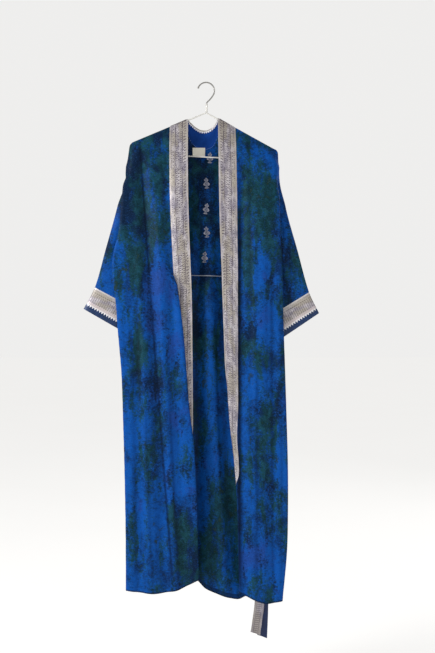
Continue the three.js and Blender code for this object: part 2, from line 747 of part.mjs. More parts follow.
// The neckband on the outside of the back, between the two ends of its inner and its outer edge.
const neckbandInner = [
  { x: -51.2, z: -102.5 },
  { x: -49, z: -108 },
  { x: -42, z: -114 },
  { x: -32, z: -122.5 },
  { x: -18, z: -130.5 },
  { x: -5, z: -132.5 },
  { x: 9, z: -129.5 },
  { x: 21, z: -121.5 },
  { x: 28, z: -113.5 },
  { x: 32.2, z: -107 },
  { x: 34.2, z: -100.5 },
];
const neckbandOuter = [
  { x: -101.5, z: -124 },
  { x: -100, z: -138 },
  { x: -92, z: -155 },
  { x: -74, z: -171 },
  { x: -40, z: -181 },
  { x: -6, z: -184 },
  { x: 28, z: -180 },
  { x: 55, z: -170 },
  { x: 73, z: -156 },
  { x: 82, z: -141 },
  { x: 84.5, z: -129 },
];
const neckbandOut = 2.1; // from the back's middle to the band's

function neckbandGrid() {
  const across = [0, 0.16, 0.5, 1];
  const down = ({ x, z }) => cutAway(x, [{ x: x - 1, z }, { x, z }, { x: x + 1, z }]);
  const rows = neckbandInner.slice(1, -1).map((inner, i) => {
    const outer = neckbandOuter[i + 1];
    return { from: inner.x, to: outer.x, top: down(inner), bottom: down(outer) };
  });
  const end = (k) => {
    const ends = { from: neckbandInner.at(k).x, to: neckbandOuter.at(k).x };
    return [0.6, 2.6, 4.8].map((s) => ({ ...ends, top: s, bottom: s }));
  };
  return [...end(0), ...rows, ...end(-1).toReversed()].map(({ from, to, top, bottom }) =>
    across.map((f) => backAt(mix(from, to, f), mix(top, bottom, f), neckbandOut)),
  );
}

// The label, sewn flat on the inside of the back below the neck.
function labelGrid() {
  const rows = [0.5, 0, -0.5].map((f) => label.z + f * label.height);
  const columns = [-0.5, -0.3, -0.1, 0.1, 0.3, 0.5].map((f) => label.x + f * label.width);
  const inwards = -(cloth + label.wall) / 2 - label.gap;
  return rows.map((z) => columns.map((x) => backAt(x, shoulderZ(x) - z, inwards)));
}

// ---------------------------------------------------------------- sleeves and cuffs

// Upper and lower fold of each sleeve. The last two rows are the cuff's seam and its end.
const rightSleeve = {
  upper: [
    { at: 0, x: -229.4, z: -248.5 },
    { at: 0.33, x: -256, z: -362.5 },
    { at: 0.66, x: -287.5, z: -476.5 },
    { at: 1, x: -318.5, z: -586 },
    { at: 1.2, x: -350.5, z: -647.5 },
  ],
  lower: [
    { at: 0, x: -188, z: -482 },
    { at: 0.12, x: -189.5, z: -503 },
    { at: 0.4, x: -184, z: -550 },
    { at: 0.7, x: -179.5, z: -605 },
    { at: 1, x: -177, z: -661 },
    { at: 1.2, x: -210, z: -728 },
  ],
};
const leftSleeve = {
  upper: [
    { at: 0, x: 209.5, z: -248.5 },
    { at: 0.33, x: 229.5, z: -362.5 },
    { at: 0.66, x: 261, z: -476.5 },
    { at: 1, x: 295, z: -599.5 },
    { at: 1.2, x: 323.5, z: -659.5 },
  ],
  lower: [
    { at: 0, x: 165.3, z: -493.6 },
    { at: 0.12, x: 167.5, z: -515 },
    { at: 0.4, x: 163, z: -570 },
    { at: 0.7, x: 160, z: -628 },
    { at: 1, x: 159, z: -683 },
    { at: 1.2, x: 192, z: -748 },
  ],
};
const sleeveRows = [0, 0.06, 0.15, 0.26, 0.38, 0.5, 0.62, 0.74, 0.86, 1];
const cuffRows = [1, 1.06, 1.13, 1.2];
const ringPoints = 22;
const cuffFlat = 7; // half the opening of the cuff, front to back
const ripple = { height: 1.6, across: 7, along: 9 }; // soft waves of the sleeve's two faces

// A ring of a sleeve: across from its upper to its lower fold, over the front and back again. At the
// body it follows the armhole's straight seam.
function sleeveRing(side, table, at, clear) {
  const upper = ["x", "z"].map((k) => read(table.upper, "at", at, k));
  const lower = ["x", "z"].map((k) => read(table.lower, "at", at, k));
  const half = mix(layer.sleeve, cuffFlat, ease((at - 0.6) / 0.4));
  const atBody = 1 - ease(at / 0.3);
  return Array.from({ length: ringPoints }, (_, j) => {
    const turn = (2 * Math.PI * j) / ringPoints;
    const share = (1 - Math.cos(turn)) / 2;
    const open = half * Math.sqrt(Math.max(0, 1 - (2 * share - 1) ** 4));
    const z = mix(upper[1], lower[1], share);
    const straight = mix(upper[0], lower[0], share);
    const slot = side.sign * (seamAt(side, mix(side.top, side.under, share)) + clear);
    const wave = ripple.height * Math.sin(ripple.across * share + ripple.along * at);
    const fade = open > 3 ? ease(at / 0.25) * ease((1.02 - at) / 0.2) : 0;
    const off = -Math.sign(Math.sin(turn)) * open;
    return new THREE.Vector3(mix(straight, slot, atBody), off + wave * fade, z);
  });
}

function sleeveGrids(side, table) {
  const clear = cloth / 2 + seamGap + 0.8;
  const cuffGap = 0.0007; // half the share of the sleeve's length that the seam's gap takes
  const rows = [...sleeveRows.slice(0, -1), 1 - cuffGap, 1 + cuffGap, ...cuffRows.slice(1)];
  const rings = rows.map((at) => sleeveRing(side, table, at, clear));
  const normals = gridNormals(rings, true);
  const n = sleeveRows.length;
  normals[n - 1] = normals[n - 1].map((a, j) => a.clone().add(normals[n][j]).normalize());
  normals[n] = normals[n - 1];
  return {
    sleeve: wall(rings.slice(0, n), cloth, true, normals.slice(0, n)),
    cuff: wall(rings.slice(n), cloth, true, normals.slice(n)),
  };
}

// ---------------------------------------------------------------- sash

// Middle of the sash down its two legs, which hang inside the robe from the hanger's bar.
const frontLeg = [
  { z: -230, x: 122, y: -6.5 },
  { z: -420, x: 123, y: -6.5 },
  { z: -760, x: 128, y: -6.5 },
  { z: -1100, x: 140, y: -6.5 },
  { z: -1380, x: 151, y: -6.5 },
  { z: -1483, x: 153, y: -7 },
  { z: -1540, x: 146, y: -7.5 },
  { z: -1575, x: 141, y: -7.5 },
];
const backLeg = [
  { z: -230, x: 122, y: 6.5 },
  { z: -420, x: 124, y: 6.5 },
  { z: -760, x: 131, y: 6.5 },
  { z: -1100, x: 146, y: 6.5 },
  { z: -1380, x: 160, y: 6.5 },
  { z: -1483, x: 164.5, y: 5 },
  { z: -1545, x: 163, y: 3.5 },
  { z: -1587, x: 161, y: 3 },
];
function sashGrid() {
  const leg = (rows) =>
    Array.from({ length: 13 }, (_, i) => {
      const z = mix(rows[0].z, rows.at(-1).z, i / 12);
      return ["x", "y"].map((k) => read(rows, "z", z, k)).concat(z);
    });
  const bar = hanger.neck.y + barZ * Math.cos(hanger.tilt) - sash.x * Math.tan(hanger.tilt);
  const radius = hanger.wire + sash.wall / 2 + wireGap + 0.1;
  const over = [-90, -60, -30, 0, 30, 60, 90].map((degrees) => {
    const a = THREE.MathUtils.degToRad(degrees);
    return [sash.x, radius * Math.sin(a), bar + radius * Math.cos(a)];
  });
  const path = [...leg(frontLeg).toReversed(), ...over, ...leg(backLeg)];
  return path.map(([x, y, z], i) => {
    const slant = i === 0 || i === path.length - 1 ? sash.slant : 0;
    const lean = Math.abs(y) < 5 && z > -300 ? Math.tan(hanger.tilt) : 0;
    return [-0.5, 0, 0.5].map((f) => {
      const across = f * sash.width;
      return new THREE.Vector3(x + across, y, z - across * lean - slant * f);
    });
  });
}

// ---------------------------------------------------------------- build

const right = frontGrids(sideOf.right, rightInner, rightHem, rightFolds);
const left = frontGrids(sideOf.left, leftInner, leftHem, leftFolds);
const back = backGrid();

const kimono = new THREE.Group();
function add(name, geometry, finish) {
  const mesh = new THREE.Mesh(geometry, new THREE.MeshStandardMaterial(finish));
  mesh.name = name;
  kimono.add(mesh);
}
const silk = { color: 0x14386b, roughness: 0.5 };
const brocade = { color: 0x9d97a0, roughness: 0.45 };
const tape = { color: 0xe9dfc4, roughness: 0.85 };
const sashCloth = { color: 0x6f6f7e, roughness: 0.5 };
const coating = { color: 0xf2f0ea, roughness: 0.4 };
const steel = { color: 0xa8a39a, roughness: 0.3, metalness: 0.8 };

add("front_right", right.front, silk);
add("front_left", left.front, silk);
add("back", wall(back, cloth), silk);
add("neckband_right", right.band, brocade);
add("neckband_left", left.band, brocade);
add("neckband_back", wall(neckbandGrid(), cloth), brocade);
for (const name of ["right", "left"]) {
  const table = name === "right" ? rightSleeve : leftSleeve;
  const { sleeve, cuff } = sleeveGrids(sideOf[name], table);
  add("sleeve_" + name, sleeve, silk);
  add("cuff_" + name, cuff, brocade);
}
add("neck_label", wall(labelGrid(), label.wall), tape);
add("sash", wall(sashGrid(), sash.wall), sashCloth);

const wires = (line, radius) => line.map(() => radius);
const frame = frameLine();
add("hanger_frame", rod(frame, wires(frame, hanger.wire), 8, true), coating);
const { collar } = hanger;
const shaft = [collar.top, collar.bottom].map((z) => new THREE.Vector3(collar.x, 0, z));
add("hanger_collar", rod(shaft, wires(shaft, collar.radius), 14, false), coating);
const { line, radii } = hook();
add("hanger_hook", rod(line, radii, 10, false), steel);

export default kimono;
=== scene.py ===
import math

import bmesh
import bpy
import numpy as np
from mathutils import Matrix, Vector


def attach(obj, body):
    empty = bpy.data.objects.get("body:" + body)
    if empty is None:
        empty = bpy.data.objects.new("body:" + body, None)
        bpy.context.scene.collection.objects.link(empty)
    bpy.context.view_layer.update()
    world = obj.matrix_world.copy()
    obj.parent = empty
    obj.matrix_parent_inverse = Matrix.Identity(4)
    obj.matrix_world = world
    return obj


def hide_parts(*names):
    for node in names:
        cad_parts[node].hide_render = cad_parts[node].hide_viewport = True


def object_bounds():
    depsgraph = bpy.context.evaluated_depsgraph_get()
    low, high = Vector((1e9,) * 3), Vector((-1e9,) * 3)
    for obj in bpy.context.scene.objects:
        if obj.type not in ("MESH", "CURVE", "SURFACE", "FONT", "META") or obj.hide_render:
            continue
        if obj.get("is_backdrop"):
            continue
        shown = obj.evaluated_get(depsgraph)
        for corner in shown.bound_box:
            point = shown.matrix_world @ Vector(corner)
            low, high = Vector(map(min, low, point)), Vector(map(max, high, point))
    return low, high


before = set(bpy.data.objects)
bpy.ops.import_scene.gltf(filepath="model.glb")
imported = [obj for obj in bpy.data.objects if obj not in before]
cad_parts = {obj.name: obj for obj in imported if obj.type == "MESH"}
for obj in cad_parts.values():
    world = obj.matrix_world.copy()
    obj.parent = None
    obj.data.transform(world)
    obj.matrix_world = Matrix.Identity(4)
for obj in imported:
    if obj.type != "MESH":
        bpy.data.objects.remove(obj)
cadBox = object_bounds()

# A long silk kimono robe on a wire hanger. Shapes are worked out in millimetres with +Z up and -Y the front,
# and go into the meshes in metres. "Right" and "left" are the wearer's, so the right front lies at -X.
mm = 0.001


# camera and room

view = {
    "place": (0.0328, -2.62, -0.6977),
    "lens": 33.59,  # with a 24 mm high sensor
    "sensor": 24.0,
    "floor": -1.80,
    "floorSize": 30.0,
}


def addCamera():
    data = bpy.data.cameras.new("camera")
    data.sensor_fit = "VERTICAL"
    data.sensor_height = view["sensor"]
    data.lens = view["lens"]
    camera = bpy.data.objects.new("camera", data)
    camera.location = view["place"]
    camera.rotation_euler = (math.radians(90), 0, 0)
    bpy.context.scene.collection.objects.link(camera)
    bpy.context.scene.camera = camera


lights = [
    {"name": "key", "place": (-2.9, -1.9, 0.5), "aim": (0, 0, -0.75), "size": 1.1, "power": 104},
    {"name": "fill", "place": (2.4, -3.2, -0.4), "aim": (0, 0, -0.8), "size": 2.4, "power": 16},
    {"name": "rear", "place": (2.6, 2.4, 0.6), "aim": (0, 0, -0.75), "size": 1.6, "power": 24},
]
studio = {"ambient": 0.42, "backdrop": 0.86, "floorGlow": 0.655, "colour": (1.0, 0.995, 0.985, 1)}


def addLights():
    for light in lights:
        data = bpy.data.lights.new(light["name"], "AREA")
        data.shape = "DISK"
        data.size = light["size"]
        data.energy = light["power"]
        lamp = bpy.data.objects.new(light["name"], data)
        place, aim = np.array(light["place"]), np.array(light["aim"])
        lamp.location = place
        dx, dy, dz = aim - place
        lamp.rotation_euler = (math.atan2(math.hypot(dx, dy), -dz), 0, math.atan2(-dx, dy) if dy else 0)
        bpy.context.scene.collection.objects.link(lamp)
    # the room is brighter to look at than what it sheds on the cloth, so that the folds keep their shade
    world = bpy.data.worlds.new("studio")
    world.use_nodes = True
    links, background = world.node_tree.links, world.node_tree.nodes["Background"]
    background.inputs["Color"].default_value = studio["colour"]
    path = world.node_tree.nodes.new("ShaderNodeLightPath")
    level = world.node_tree.nodes.new("ShaderNodeMapRange")
    level.inputs["To Min"].default_value = studio["ambient"]
    level.inputs["To Max"].default_value = studio["backdrop"]
    links.new(path.outputs["Is Camera Ray"], level.inputs["Value"])
    links.new(level.outputs["Result"], background.inputs["Strength"])
    bpy.context.scene.world = world
    bpy.context.scene.view_settings.view_transform = "Standard"


addCamera()
addLights()
print("camera and lights")


# node helpers


def colour(red, green, blue):
    # screen values 0 to 255 as linear light
    c = np.array([red, green, blue]) / 255
    linear = np.where(c <= 0.04045, c / 12.92, ((c + 0.055) / 1.055) ** 2.4)
    return (*linear.tolist(), 1.0)


class Nodes:
    # short calls that add nodes to one tree; a value may be a number, a colour or another node's output
    def __init__(self, tree):
        self.tree = tree

    def add(self, kind, **settings):
        node = self.tree.nodes.new(kind)
        for name, value in settings.items():
            setattr(node, name, value)
        return node

    def put(self, socket, value):
        if isinstance(value, bpy.types.NodeSocket):
            self.tree.links.new(value, socket)
        elif value is not None:
            socket.default_value = value

    def math(self, operation, a, b=None, c=None, clamp=False):
        node = self.add("ShaderNodeMath", operation=operation, use_clamp=clamp)
        for socket, value in zip(node.inputs, (a, b, c)):
            self.put(socket, value)
        return node.outputs[0]

    def step(self, value, low, high):
        # 0 below low, 1 above high, smooth between them
        node = self.add("ShaderNodeMapRange", interpolation_type="SMOOTHSTEP")
        for name, given in (("Value", value), ("From Min", low), ("From Max", high)):
            self.put(node.inputs[name], given)
        return node.outputs["Result"]

    def line(self, value, centre, half, soft):
        # 1 on a line of half width about a centre, fading out over soft
        distance = self.math("ABSOLUTE", self.math("SUBTRACT", value, centre))
        return self.math("SUBTRACT", 1.0, self.step(distance, half, half + soft))

    def mix(self, factor, a, b):
        node = self.add("ShaderNodeMix", data_type="RGBA")
        self.put(node.inputs["Factor"], factor)
        self.put(node.inputs[6], a)
        self.put(node.inputs[7], b)
        return node.outputs[2]

    def tint(self, base, mask, share, tone):
        # a share of a tone laid over the base where the mask is 1
        return self.mix(self.math("MULTIPLY", mask, share), base, tone)

    def noise(self, vector, scale, detail=2.0, roughness=0.5, distortion=0.0):
        node = self.add("ShaderNodeTexNoise")
        self.put(node.inputs["Vector"], vector)
        for name, given in (
            ("Scale", scale), ("Detail", detail), ("Roughness", roughness), ("Distortion", distortion)
        ):
            self.put(node.inputs[name], given)
        return node.outputs["Fac"]

    def attribute(self, name, output="Fac"):
        return self.add("ShaderNodeAttribute", attribute_name=name).outputs[output]

    def split(self, vector):
        node = self.add("ShaderNodeSeparateXYZ")
        self.put(node.inputs[0], vector)
        return node.outputs

    def stretch(self, vector, scale, place=(0, 0, 0)):
        node = self.add("ShaderNodeMapping")
        self.put(node.inputs["Vector"], vector)
        node.inputs["Scale"].default_value = scale
        node.inputs["Location"].default_value = place
        return node.outputs[0]

    def coordinates(self, name="Object"):
        return self.add("ShaderNodeTexCoord").outputs[name]

    def group(self, tree, **values):
        node = self.add("ShaderNodeGroup", node_tree=tree)
        for name, value in values.items():
            self.put(node.inputs[name], value)
        return node.outputs

    def bump(self, height, distance, strength=1.0, normal=None):
        node = self.add("ShaderNodeBump")
        self.put(node.inputs["Height"], height)
        node.inputs["Distance"].default_value = distance
        node.inputs["Strength"].default_value = strength
        self.put(node.inputs["Normal"], normal)
        return node.outputs[0]


def newGroup(name, inputs, outputs):
    # an effect shared by several materials: sockets are given as name: (type, value)
    tree = bpy.data.node_groups.new(name, "ShaderNodeTree")
    for socket, (kind, value) in inputs.items():
        made = tree.interface.new_socket(socket, in_out="INPUT", socket_type="NodeSocket" + kind)
        if value is not None:
            made.default_value = value
    for socket, kind in outputs.items():
        tree.interface.new_socket(socket, in_out="OUTPUT", socket_type="NodeSocket" + kind)
    nodes = Nodes(tree)
    return tree, nodes, nodes.add("NodeGroupInput").outputs, nodes.add("NodeGroupOutput").inputs


def newMaterial(name, **constants):
    # a material with a Principled shader whose constant sockets are set straight on it
    material = bpy.data.materials.new(name)
    material.use_nodes = True
    shader = material.node_tree.nodes["Principled BSDF"]
    for socket, value in constants.items():
        shader.inputs[socket].default_value = value
    return material, Nodes(material.node_tree), shader.inputs


# cloth materials

dye = {
    "bright": colour(9, 76, 158),
    "blue": colour(9, 64, 132),
    "deep": colour(8, 34, 74),
    "night": colour(9, 26, 46),
    "green": colour(14, 46, 44),
    "teal": colour(22, 64, 68),
    "violet": colour(36, 50, 118),
    "olive": colour(34, 52, 34),
    "light": colour(62, 112, 182),
    # painted shade, laid over the silk along the shade lines in folds and beside the bands
    "shade": colour(4, 10, 24),
    "cloud": 8.5,  # patches to the metre
    "streak": 34.0,
    "blot": 46.0,
    "grain": 150.0,
    "wisp": 420.0,
}


def weaveGroup():
    # height of a plain weave: sin(2 pi u / pitch) * sin(2 pi v / pitch), softened by a slub along each thread
    tree, n, given, out = newGroup(
        "weave", {"UV": ("Vector", None), "Pitch": ("Float", 0.0006)}, {"Height": "Float"}
    )
    u, v, _ = n.split(given["UV"])
    turns = n.math("DIVIDE", 2 * math.pi, given["Pitch"])
    across = n.math("SINE", n.math("MULTIPLY", u, turns))
    along = n.math("SINE", n.math("MULTIPLY", v, turns))
    threads = n.math("MULTIPLY_ADD", n.math("MULTIPLY", across, along), 0.5, 0.5)
    slub = n.noise(n.stretch(given["UV"], (900, 60, 1)), 1.0, 2.0)
    n.put(out["Height"], n.math("MULTIPLY_ADD", slub, 0.6, n.math("MULTIPLY", threads, 0.4)))
    return tree


def dyeGroup():
    # mottled dye made of noise in clouds, long streaks, blots and fine wisps. Three weights say what a place
    # leans to: bright, green or navy
    floats = {name: ("Float", 0.0) for name in ("Bright", "Green", "Navy")}
    tree, n, given, out = newGroup("dye", {"Vector": ("Vector", None), **floats}, {"Color": "Color"})
    place, bright, green, navy = (given[name] for name in ("Vector", "Bright", "Green", "Navy"))

    def field(name, scale, shift, detail, roughness=0.6, twist=0.0):
        return n.noise(n.stretch(place, scale, shift), dye[name], detail, roughness, twist)

    def weigh(*pairs):
        total = 0.0
        for value, weight in pairs:
            total = n.math("MULTIPLY_ADD", value, weight, total)
        return total

    cloud = field("cloud", (1, 1, 0.7), (0, 0, 0), 2.0, 0.5, 0.6)
    blot = field("blot", (1, 1, 0.8), (3.1, 0, 1.7), 5.0, 0.62, 0.6)
    grain = field("grain", (1, 1, 1.3), (7.3, 2.9, 0), 4.0, 0.66, 0.4)
    streak = field("streak", (1, 1, 0.26), (5.5, 0.7, 9), 4.0, 0.62, 0.5)
    wisp = field("wisp", (0.55, 0.55, 1.5), (1.9, 8.1, 4), 3.0, 0.65, 1.4)
    hue = field("cloud", (1.3, 1.3, 0.9), (2, 13, 6), 3.0)

    # the blues, with violet patches and deeper ones
    tone = weigh((cloud, 0.36), (blot, 0.36), (grain, 0.28), (navy, 0.075), (green, 0.03), (bright, -0.08))
    base = n.mix(n.step(tone, 0.535, 0.415), dye["blue"], dye["bright"])
    violet = n.step(weigh((hue, 1.0), (grain, 0.25), (green, -0.2)), 0.66, 0.80)
    base = n.tint(base, violet, 0.45, dye["violet"])
    base = n.tint(base, n.step(tone, 0.48, 0.61), 0.85, dye["deep"])

    # dark green and teal runs down the cloth, and olive spots
    run = weigh((streak, 0.85), (grain, 0.50), (green, 0.125), (navy, 0.04), (bright, -0.06), (cloud, 0.3))
    stain = n.mix(n.step(blot, 0.60, 0.38), dye["green"], dye["teal"])
    stain = n.mix(n.step(hue, 0.50, 0.60), stain, dye["night"])
    base = n.tint(base, n.step(run, 0.80, 0.96), 0.9, stain)
    spot = n.step(weigh((blot, 1.0), (hue, -0.5)), 0.40, 0.48)
    base = n.tint(base, spot, 0.75, dye["olive"])

    # fine dark and light crackle
    base = n.tint(base, n.step(wisp, 0.52, 0.70), 0.55, dye["night"])
    base = n.tint(base, n.step(wisp, 0.46, 0.28), 0.40, dye["light"])
    n.put(out["Color"], base)
    return tree


brocade = {
    "lilac": colour(134, 129, 142),
    "champagne": colour(162, 154, 138),
    "pale": colour(196, 190, 194),
    "silver": colour(226, 220, 214),
    "purple": colour(58, 46, 66),
    "olive": colour(62, 56, 44),
    "shader": {"Metallic": 0.22, "Sheen Weight": 0.08, "Specular IOR Level": 0.5},
    "roughness": 0.52,
    "rubbedSmooth": 0.16,  # taken off the roughness where the tissue is rubbed
}


def tissueGroup():
    # tissue brocade: fine ribs across the band and a salt-and-pepper of threads in silver, lilac and
    # champagne, rubbed in soft cloudy patches
    tree, n, given, out = newGroup(
        "tissue", {"UV": ("Vector", None)}, {"Color": "Color", "Height": "Float", "Shine": "Float"}
    )
    threads = n.noise(n.stretch(given["UV"], (1100, 240, 1)), 1.0, 3.0, 0.7)
    pepper = n.noise(n.stretch(given["UV"], (520, 620, 1), (3, 1, 0)), 1.0, 2.0, 0.8)
    salt = n.noise(n.stretch(given["UV"], (430, 560, 1), (8, 5, 0)), 1.0, 2.0, 0.8)
    cloud = n.noise(n.stretch(given["UV"], (28, 60, 1), (4, 2, 0)), 1.0, 4.0, 0.65)
    warm = n.noise(n.stretch(given["UV"], (12, 30, 1), (9, 7, 0)), 1.0, 3.0, 0.6)
    base = n.mix(n.step(cloud, 0.36, 0.62), brocade["lilac"], brocade["pale"])
    base = n.tint(base, n.step(warm, 0.44, 0.60), 0.8, brocade["champagne"])
    base = n.tint(base, n.step(threads, 0.48, 0.70), 0.40, brocade["purple"])
    base = n.tint(base, n.step(pepper, 0.54, 0.66), 0.55, brocade["purple"])
    base = n.tint(base, n.step(salt, 0.54, 0.68), 0.50, brocade["silver"])
    n.put(out["Color"], base)
    n.put(out["Height"], n.math("MULTIPLY_ADD", threads, 0.6, n.math("MULTIPLY", salt, 0.4)))
    n.put(out["Shine"], n.step(cloud, 0.3, 0.7))
    return tree


weaveTree = weaveGroup()
dyeTree = dyeGroup()
tissueTree = tissueGroup()

# a row or line of a weave is given as its place, half width and softness, and a pitch as its length and the
# shares of it between which a dash is woven, all lengths in metres
silk = {
    "shader": {"Roughness": 0.46, "Sheen Weight": 0.03, "Sheen Roughness": 0.35, "Specular IOR Level": 0.045},
    "sheenTint": (0.4, 0.6, 1.0, 1.0),
    "facingStart": (0.0005, 0.0015),  # under the neck's edge
    "facingEnd": (0.0455, 0.0475),
    "facingStitches": (0.0448, 0.0005, 0.0004),
    "facingPitch": 0.0035,
    "facingTones": (colour(6, 34, 84), colour(22, 72, 160)),
    "facingThread": colour(130, 160, 210),
    "wovenLine": (0.0, 0.0009, 0.0006),  # off the woven line's own height
    "wovenShadow": (0.0045, 0.0012, 0.001),
    "wovenThread": colour(150, 155, 165),
    "hemEdge": (0.0052, 0.0030),  # above the hem
    "hemStitches": (0.0125, 0.0005, 0.0005),
    "hemPitch": 0.0032,
    "hemTurned": (0.0145, 0.0125),
    "weavePitch": 0.0007,
}


def silkMaterial():
    # dyed silk. On the inside of the back it has the plain facing under the neck, a woven line further down
    # and the turned-up hem
    material, n, shader = newMaterial("silk", **silk["shader"])
    shader["Sheen Tint"].default_value = silk["sheenTint"]
    uv = n.coordinates("UV")
    weights = n.split(n.attribute("dye", "Vector"))
    dyed = n.group(dyeTree, Vector=n.coordinates(), Bright=weights[0], Green=weights[1], Navy=weights[2])
    base = dyed["Color"]
    sideways = n.split(n.coordinates())[0]

    def stitches(distance, row, pitch, low, high):
        # 1 on a row of stitches: near its place, and where sin(2 pi x / pitch) is high
        wave = n.math("SINE", n.math("MULTIPLY", sideways, 2 * math.pi / pitch))
        return n.math("MULTIPLY", n.line(distance, *row), n.step(wave, low, high))

    facing = n.attribute("facing")
    inFacing = n.math("SUBTRACT", n.step(facing, *silk["facingStart"]), n.step(facing, *silk["facingEnd"]))
    base = n.mix(inFacing, base, n.mix(n.noise(uv, 34, 4, 0.6), *silk["facingTones"]))
    facingLine = stitches(facing, silk["facingStitches"], silk["facingPitch"], -0.2, 0.2)
    base = n.tint(base, facingLine, 0.6, silk["facingThread"])
    woven = n.attribute("woven")
    base = n.tint(base, n.line(woven, *silk["wovenShadow"]), 0.6, dye["deep"])
    base = n.tint(base, n.line(woven, *silk["wovenLine"]), 0.9, silk["wovenThread"])
    hem = n.attribute("hem")
    hemLine = stitches(hem, silk["hemStitches"], silk["hemPitch"], -0.4, 0.1)
    base = n.tint(base, hemLine, 0.5, dye["deep"])
    base = n.tint(base, n.step(hem, *silk["hemEdge"]), 0.7, dye["night"])
    turnedUp = n.math("MULTIPLY", n.attribute("inside"), n.step(hem, *silk["hemTurned"]))
    base = n.tint(base, turnedUp, 0.7, dye["night"])
    # painted shade: the shade lines darken the cloth in the bottoms of folds and beside the bands
    base = n.mix(n.attribute("shade"), base, dye["shade"])
    n.put(shader["Base Color"], base)
    fine = n.group(weaveTree, UV=uv, Pitch=silk["weavePitch"])["Height"]
    crease = n.noise(n.stretch(n.coordinates(), (26, 26, 7)), 1.0, 3.0, 0.55)
    soft = n.bump(crease, 0.006, 0.35)
    n.put(shader["Normal"], n.bump(fine, 0.00025, 0.5, n.bump(hemLine, 0.0004, -0.5, soft)))
    return material


def brocadeMaterial(name, draw):
    # tissue brocade with its own woven figures, drawn on (along, across) in metres by the function given
    material, n, shader = newMaterial(name, **brocade["shader"])
    uv = n.coordinates("UV")
    tissue = n.group(tissueTree, UV=uv)
    along, across, _ = n.split(uv)
    base, raised = draw(n, tissue["Color"], along, across)
    n.put(shader["Base Color"], base)
    shine = tissue["Shine"]
    n.put(shader["Roughness"], n.math("MULTIPLY_ADD", shine, -brocade["rubbedSmooth"], brocade["roughness"]))
    fine = n.bump(tissue["Height"], 0.0005, 0.6)
    n.put(shader["Normal"], n.bump(raised, 0.0004, 0.6, fine))
    return material


def dashes(n, along, across, row, pitch):
    # a row of dashes: 1 near its place across, on part of each pitch along
    length, low, high = pitch
    share = n.math("FRACT", n.math("DIVIDE", along, length))
    beat = n.math("MULTIPLY", n.step(share, low - 0.06, low + 0.06), n.step(share, high + 0.06, high - 0.06))
    return n.math("MULTIPLY", n.line(across, *row), beat)


def toothed(n, along, across, root, height, pitch):
    # 1 below an edge of pointed teeth, across = root + height * |2 s - 1|, with s the share of a pitch along
    share = n.math("FRACT", n.math("DIVIDE", along, pitch))
    wave = n.math("MULTIPLY", n.math("ABSOLUTE", n.math("SUBTRACT", share, 0.5)), 2.0)
    edge = n.math("MULTIPLY_ADD", wave, height, root)
    return n.math("LESS_THAN", across, edge)


bandWeave = {  # from the band's free edge
    "lines": [(0.0150, 0.0010, 0.0006), (0.0345, 0.0010, 0.0006)],
    "dashes": [
        ((0.0192, 0.0022, 0.0004), (0.0058, 0.2, 0.6)),
        ((0.0300, 0.0022, 0.0004), (0.0058, 0.5, 0.9)),
        ((0.0247, 0.0014, 0.0004), (0.0094, 0.25, 0.65)),
        ((0.0078, 0.0024, 0.0004), (0.0078, 0.25, 0.6)),
        ((0.0110, 0.0010, 0.0004), (0.0092, 0.1, 0.5)),
        ((0.0395, 0.0010, 0.0004), (0.0092, 0.5, 0.9)),
        ((0.0440, 0.0014, 0.0004), (0.0052, 0.2, 0.6)),
    ],
    "edge": (0.0045, 0.0015),
    "edgeTone": colour(204, 198, 196),
}


def bandFigures(n, base, along, across):
    # two lengthwise lines, rows of short bars between and beside them, and a slightly paler free edge
    rows = [n.line(across, *row) for row in bandWeave["lines"]]
    rows += [dashes(n, along, across, *row) for row in bandWeave["dashes"]]
    marks = rows[0]
    for row in rows[1:]:
        marks = n.math("MAXIMUM", marks, row)
    worn = n.step(n.noise(n.stretch(n.coordinates("UV"), (60, 60, 1)), 1.0, 3.0), 0.30, 0.55)
    base = n.mix(n.math("MULTIPLY", marks, n.math("MULTIPLY", worn, 0.85)), base, brocade["purple"])
    base = n.tint(base, n.step(across, *bandWeave["edge"]), 0.25, bandWeave["edgeTone"])
    return base, n.math("SUBTRACT", 1.0, marks)


cuffWeave = {  # from the cuff's seam
    "edge": (0.006, 0.002),
    "edgeTone": colour(215, 212, 214),
    "brokenLine": ((0.0140, 0.0010, 0.0006), (0.0066, 0.1, 0.75)),
    "bars": ((0.0330, 0.0150, 0.0006), (0.0062, 0.2, 0.55)),
    "paleZone": (0.0490, 0.0045, 0.001),
    "paleTone": colour(214, 200, 202),
    "white": (0.0510, 0.0535),
    "whiteTone": colour(228, 226, 228),
    "teeth": (0.0530, 0.0062, 0.0077),  # root, height and pitch
    "endTones": (colour(0, 24, 50), colour(4, 50, 106)),
}


def cuffFigures(n, base, along, across):
    # from the seam: a pale edge, a broken line, plain ground, bars, a pale zone, white teeth and the plain
    # end
    broken = dashes(n, along, across, *cuffWeave["brokenLine"])
    bars = dashes(n, along, across, *cuffWeave["bars"])
    base = n.tint(base, n.step(across, *cuffWeave["edge"]), 0.6, cuffWeave["edgeTone"])
    base = n.tint(base, broken, 0.7, brocade["olive"])
    base = n.tint(base, bars, 0.5, brocade["purple"])
    base = n.tint(base, n.line(across, *cuffWeave["paleZone"]), 0.5, cuffWeave["paleTone"])
    base = n.tint(base, n.step(across, *cuffWeave["white"]), 0.8, cuffWeave["whiteTone"])
    plainEnd = n.mix(n.noise(n.coordinates(), 90, 4, 0.6), *cuffWeave["endTones"])
    base = n.mix(toothed(n, along, across, *cuffWeave["teeth"]), plainEnd, base)
    return base, n.math("SUBTRACT", 1.0, n.math("MULTIPLY", bars, 0.6))


neckWeave = {  # from the end of the strip inside the neck
    "strip": 0.0092,
    "white": (0.0062, 0.0052),
    "whiteTone": colour(228, 226, 230),
    "teeth": (0.0002, 0.0046, 0.0066),
    "gapTone": colour(14, 54, 128),
}


